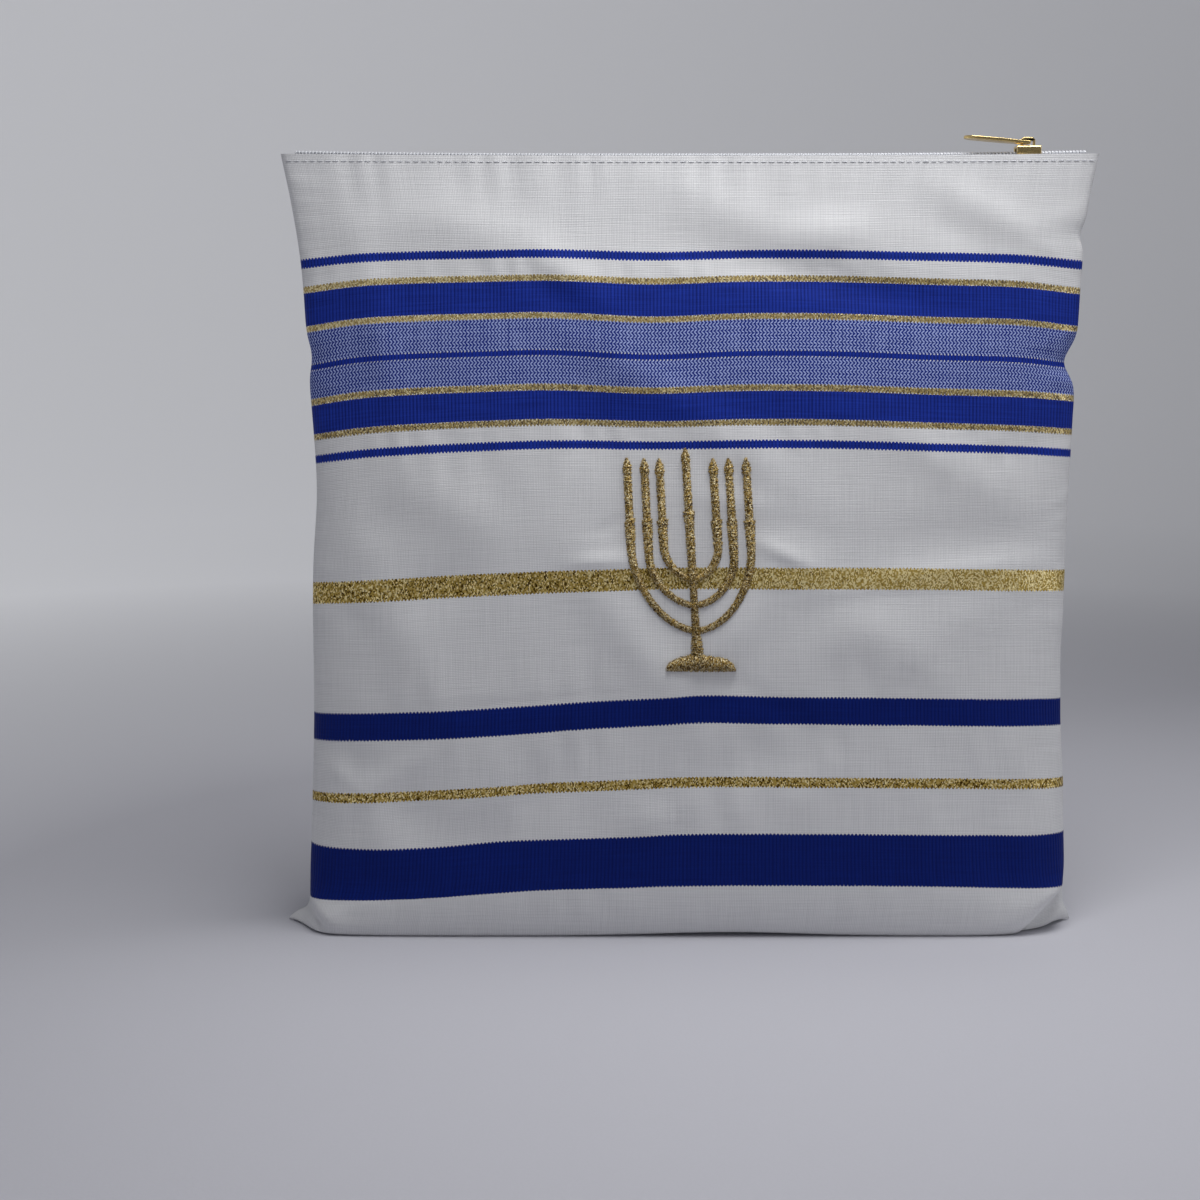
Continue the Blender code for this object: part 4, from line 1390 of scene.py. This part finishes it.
class TALLITBAG_OT_topstitch(bpy.types.Operator):
    """Sews a line of stitches under the fold at the zip, front and back"""

    bl_idname = "tallitbag.topstitch"
    bl_label = "Topstitching"

    def execute(self, context):
        look = context.scene.tallit_zip
        finish = plain_yarn("white_thread", look.tape, look.tape_shade, 0.2)
        tree = stitch_tree()
        values = {"Stitch": look.stitch, "Gap": look.stitch_gap, "Thickness": look.stitch_thread}
        values["Finish"] = finish
        for side, name in ((FRONT, "topstitch_front"), (BACK, "topstitch_back")):
            columns = np.linspace(-TOPSTITCH_END, TOPSTITCH_END, TOPSTITCH_POINTS)
            line = panel_row(side, columns, CLOTH_HEIGHT - TOPSTITCH_DROP)
            line[:, 1] += side * TOPSTITCH_OUT
            mesh = grown(name, line_mesh(name + "_line", line * MM), tree, values)
            mesh.shade_smooth()
            link(name, mesh, "bag")
        return {"FINISHED"}


class TALLITBAG_OT_zip(bpy.types.Operator):
    """Weaves the zip's tapes and winds its coil"""

    bl_idname = "tallitbag.zip"
    bl_label = "Zip tapes and coil"

    def execute(self, context):
        look = context.scene.tallit_zip
        tape = plain_yarn("zip_tape_weave", look.tape, look.tape_shade, 0.5)
        for node in ("zip_tape_front", "zip_tape_back"):
            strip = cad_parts[node]
            strip.data.materials.clear()
            strip.data.materials.append(tape)
        coil = plain_yarn("zip_coil", look.tape, look.tape_shade, 0.3, 0.45)
        tree = coil_tree()
        columns = np.linspace(-COIL_END, COIL_END, COIL_POINTS)
        rim = panel_row(FRONT, columns, CLOTH_HEIGHT)
        for side, name in ((FRONT, "zip_coil_front"), (BACK, "zip_coil_back")):
            places = [rim[:, 0], np.full(len(rim), side * COIL_OUT), rim[:, 2] - TAPE_SUNK + COIL_UP]
            line = np.stack(places, axis=1) * MM
            if side == BACK:
                line[:, 0] += look.coil_pitch / 2
            values = {
                "Pitch": look.coil_pitch, "Wire": look.coil_wire, "Width": look.coil_width,
                "Height": look.coil_height, "Slant": pi / 2 + side * COIL_SLANT, "Finish": coil,
            }
            mesh = grown(name, line_mesh(name + "_line", line), tree, values)
            mesh.shade_smooth()
            link(name, mesh, "bag")
        return {"FINISHED"}


class TALLITBAG_OT_metal(bpy.types.Operator):
    """Rounds and plates the slider and its pull tab"""

    bl_idname = "tallitbag.metal"
    bl_label = "Slider and pull tab"

    def execute(self, context):
        look = context.scene.tallit_zip
        finish = polished_metal(look)
        for node, body in (("zip_slider", "bag"), ("zip_pull_tab", "pull")):
            work = bmesh.new()
            work.from_mesh(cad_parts[node].data)
            bmesh.ops.remove_doubles(work, verts=work.verts, dist=0.00001)
            bmesh.ops.dissolve_limit(work, angle_limit=radians(1), verts=work.verts, edges=work.edges)
            mesh = mesh_of(node + "_plated", work)
            mesh.materials.append(finish)
            mesh.shade_smooth()
            piece = link(node + "_plated", mesh, body)
            rounding = piece.modifiers.new("rounding", "BEVEL")
            rounding.width = look.edge
            rounding.segments = 3
            rounding.limit_method = "ANGLE"
            rounding.angle_limit = radians(SHARP_EDGE)
            rounding.harden_normals = True
            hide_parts(node)
        return {"FINISHED"}


def stage_mesh(reach, sweep, wall):
    """A round floor that curves up into a wall all the way round."""
    turn = np.linspace(0.0, pi / 2, 12)
    out = np.concatenate((np.linspace(0.05, reach, 8), reach + sweep * np.sin(turn[1:]), [reach + sweep]))
    up = np.concatenate((np.zeros(8), sweep * (1 - np.cos(turn[1:])), [wall]))
    sides = STAGE_SIDES
    around = np.arange(sides) * 2 * pi / sides
    points = [(r * cos(a), r * sin(a), z) for r, z in zip(out, up) for a in around]
    faces = [list(range(sides))]
    for ring in range(len(out) - 1):
        for k in range(sides):
            here, beside = ring * sides + k, ring * sides + (k + 1) % sides
            faces.append([here, here + sides, beside + sides, beside])
    mesh = bpy.data.meshes.new("floor")
    mesh.from_pydata(points, [], faces)
    mesh.shade_smooth()
    return mesh


class TALLITBAG_OT_stage(bpy.types.Operator):
    """Sets the floor, the soft lights and the camera"""

    bl_idname = "tallitbag.stage"
    bl_label = "Stage"

    def execute(self, context):
        look = context.scene.tallit_stage
        floor_mesh = stage_mesh(look.reach, look.sweep, look.wall)
        finish, graph = new_material("floor")
        place = graph.place()
        grain = graph.add("ShaderNodeTexNoise", {}, {"Vector": place, "Scale": 900.0, "Detail": 2.0})
        colour = graph.mix(grain, [part * FLOOR_SHADE for part in look.floor], look.floor)
        x, back, _ = graph.parts(place)
        away = graph.add("ShaderNodeVectorMath", {"operation": "LENGTH"}, {0: place}, "Value")
        radius = look.reach + look.sweep
        aside = x / away
        # The wall glows most behind the bag, and more at the left than at the right.
        behind = 0.5 + back / away * 0.25 + back * (0.25 / radius) - aside * 0.4 - aside / away * 0.4
        glow = ((away - GLOW_START) / GLOW_REACH).clamped() * behind.maths("MAXIMUM", look.least_glow)
        glow = glow * look.glow
        lit = graph.vector(glow * 0.97, glow * 0.98, glow)
        bump = graph.add("ShaderNodeBump", {}, {"Strength": 1.0, "Distance": 0.00005, "Height": grain})
        inputs = {"Base Color": colour, "Roughness": 0.9, "Normal": bump, "Emission Color": lit}
        shader = graph.add("ShaderNodeBsdfPrincipled", {}, {**inputs, "Emission Strength": 1.0})
        graph.add("ShaderNodeOutputMaterial", {}, {"Surface": shader})
        finish.cycles.emission_sampling = "NONE"
        floor_mesh.materials.append(finish)
        floor = add_object("floor", floor_mesh)

        world = context.scene.world or bpy.data.worlds.new("surround")
        context.scene.world = world
        world.use_nodes = True
        background = world.node_tree.nodes["Background"]
        background.inputs["Color"].default_value = (*look.surround, 1.0)
        background.inputs["Strength"].default_value = look.surround_strength

        self.add_light("top_light", (0.10, -0.115, 0.62), (0.0, -0.03, 0.12), (0.5, 0.2), look.top_power)
        self.add_light("side_light", (0.86, -0.34, 0.25), (0.0, 0.0, 0.15), (0.5, 0.4), look.side_power)

        lens = bpy.data.cameras.new("camera")
        lens.lens = CAMERA_LENS
        lens.sensor_width = SENSOR
        camera = add_object("camera", lens)
        camera.location = CAMERA_PLACE
        camera.rotation_euler = (radians(90 - CAMERA_PITCH), 0.0, 0.0)
        context.scene.camera = camera
        context.scene.view_settings.view_transform = "Standard"
        return {"FINISHED"}

    def add_light(self, name, place, aim, size, power):
        """A soft rectangular light at a place, pointing at its aim."""
        lamp = bpy.data.lights.new(name, "AREA")
        lamp.shape = "RECTANGLE"
        lamp.size, lamp.size_y = size
        lamp.energy = power
        light = add_object(name, lamp)
        light.location = place
        light.rotation_euler = (Vector(aim) - Vector(place)).to_track_quat("-Z", "Y").to_euler()
        light.visible_camera = False


class TALLITBAG_PT_sidebar(bpy.types.Panel):
    """Lists the bag's pieces and their settings"""

    bl_idname = "TALLITBAG_PT_sidebar"
    bl_label = "Tallit Bag"
    bl_space_type = "VIEW_3D"
    bl_region_type = "UI"
    bl_category = "Tallit Bag"

    def draw(self, context):
        for operator in OPERATORS:
            self.layout.operator(operator.bl_idname)
        for settings in SETTINGS:
            box = self.layout.box()
            group = getattr(context.scene, settings)
            for name in group.__annotations__:
                box.prop(group, name)


SETTINGS = {
    "tallit_cloth": ClothSettings,
    "tallit_embroidery": EmbroiderySettings,
    "tallit_zip": ZipSettings,
    "tallit_stage": StageSettings,
}
OPERATORS = (
    TALLITBAG_OT_stage,
    TALLITBAG_OT_panels,
    TALLITBAG_OT_embroidery,
    TALLITBAG_OT_topstitch,
    TALLITBAG_OT_zip,
    TALLITBAG_OT_metal,
)
CLASSES = (*SETTINGS.values(), *OPERATORS, TALLITBAG_PT_sidebar)


def register():
    for cls in CLASSES:
        bpy.utils.register_class(cls)
    for name, group in SETTINGS.items():
        setattr(bpy.types.Scene, name, PointerProperty(type=group))


def unregister():
    for name in SETTINGS:
        delattr(bpy.types.Scene, name)
    for cls in reversed(CLASSES):
        bpy.utils.unregister_class(cls)


def main():
    register()
    for operator in OPERATORS:
        group, name = operator.bl_idname.split(".")
        getattr(getattr(bpy.ops, group), name)()


if __name__ == "__main__":
    main()
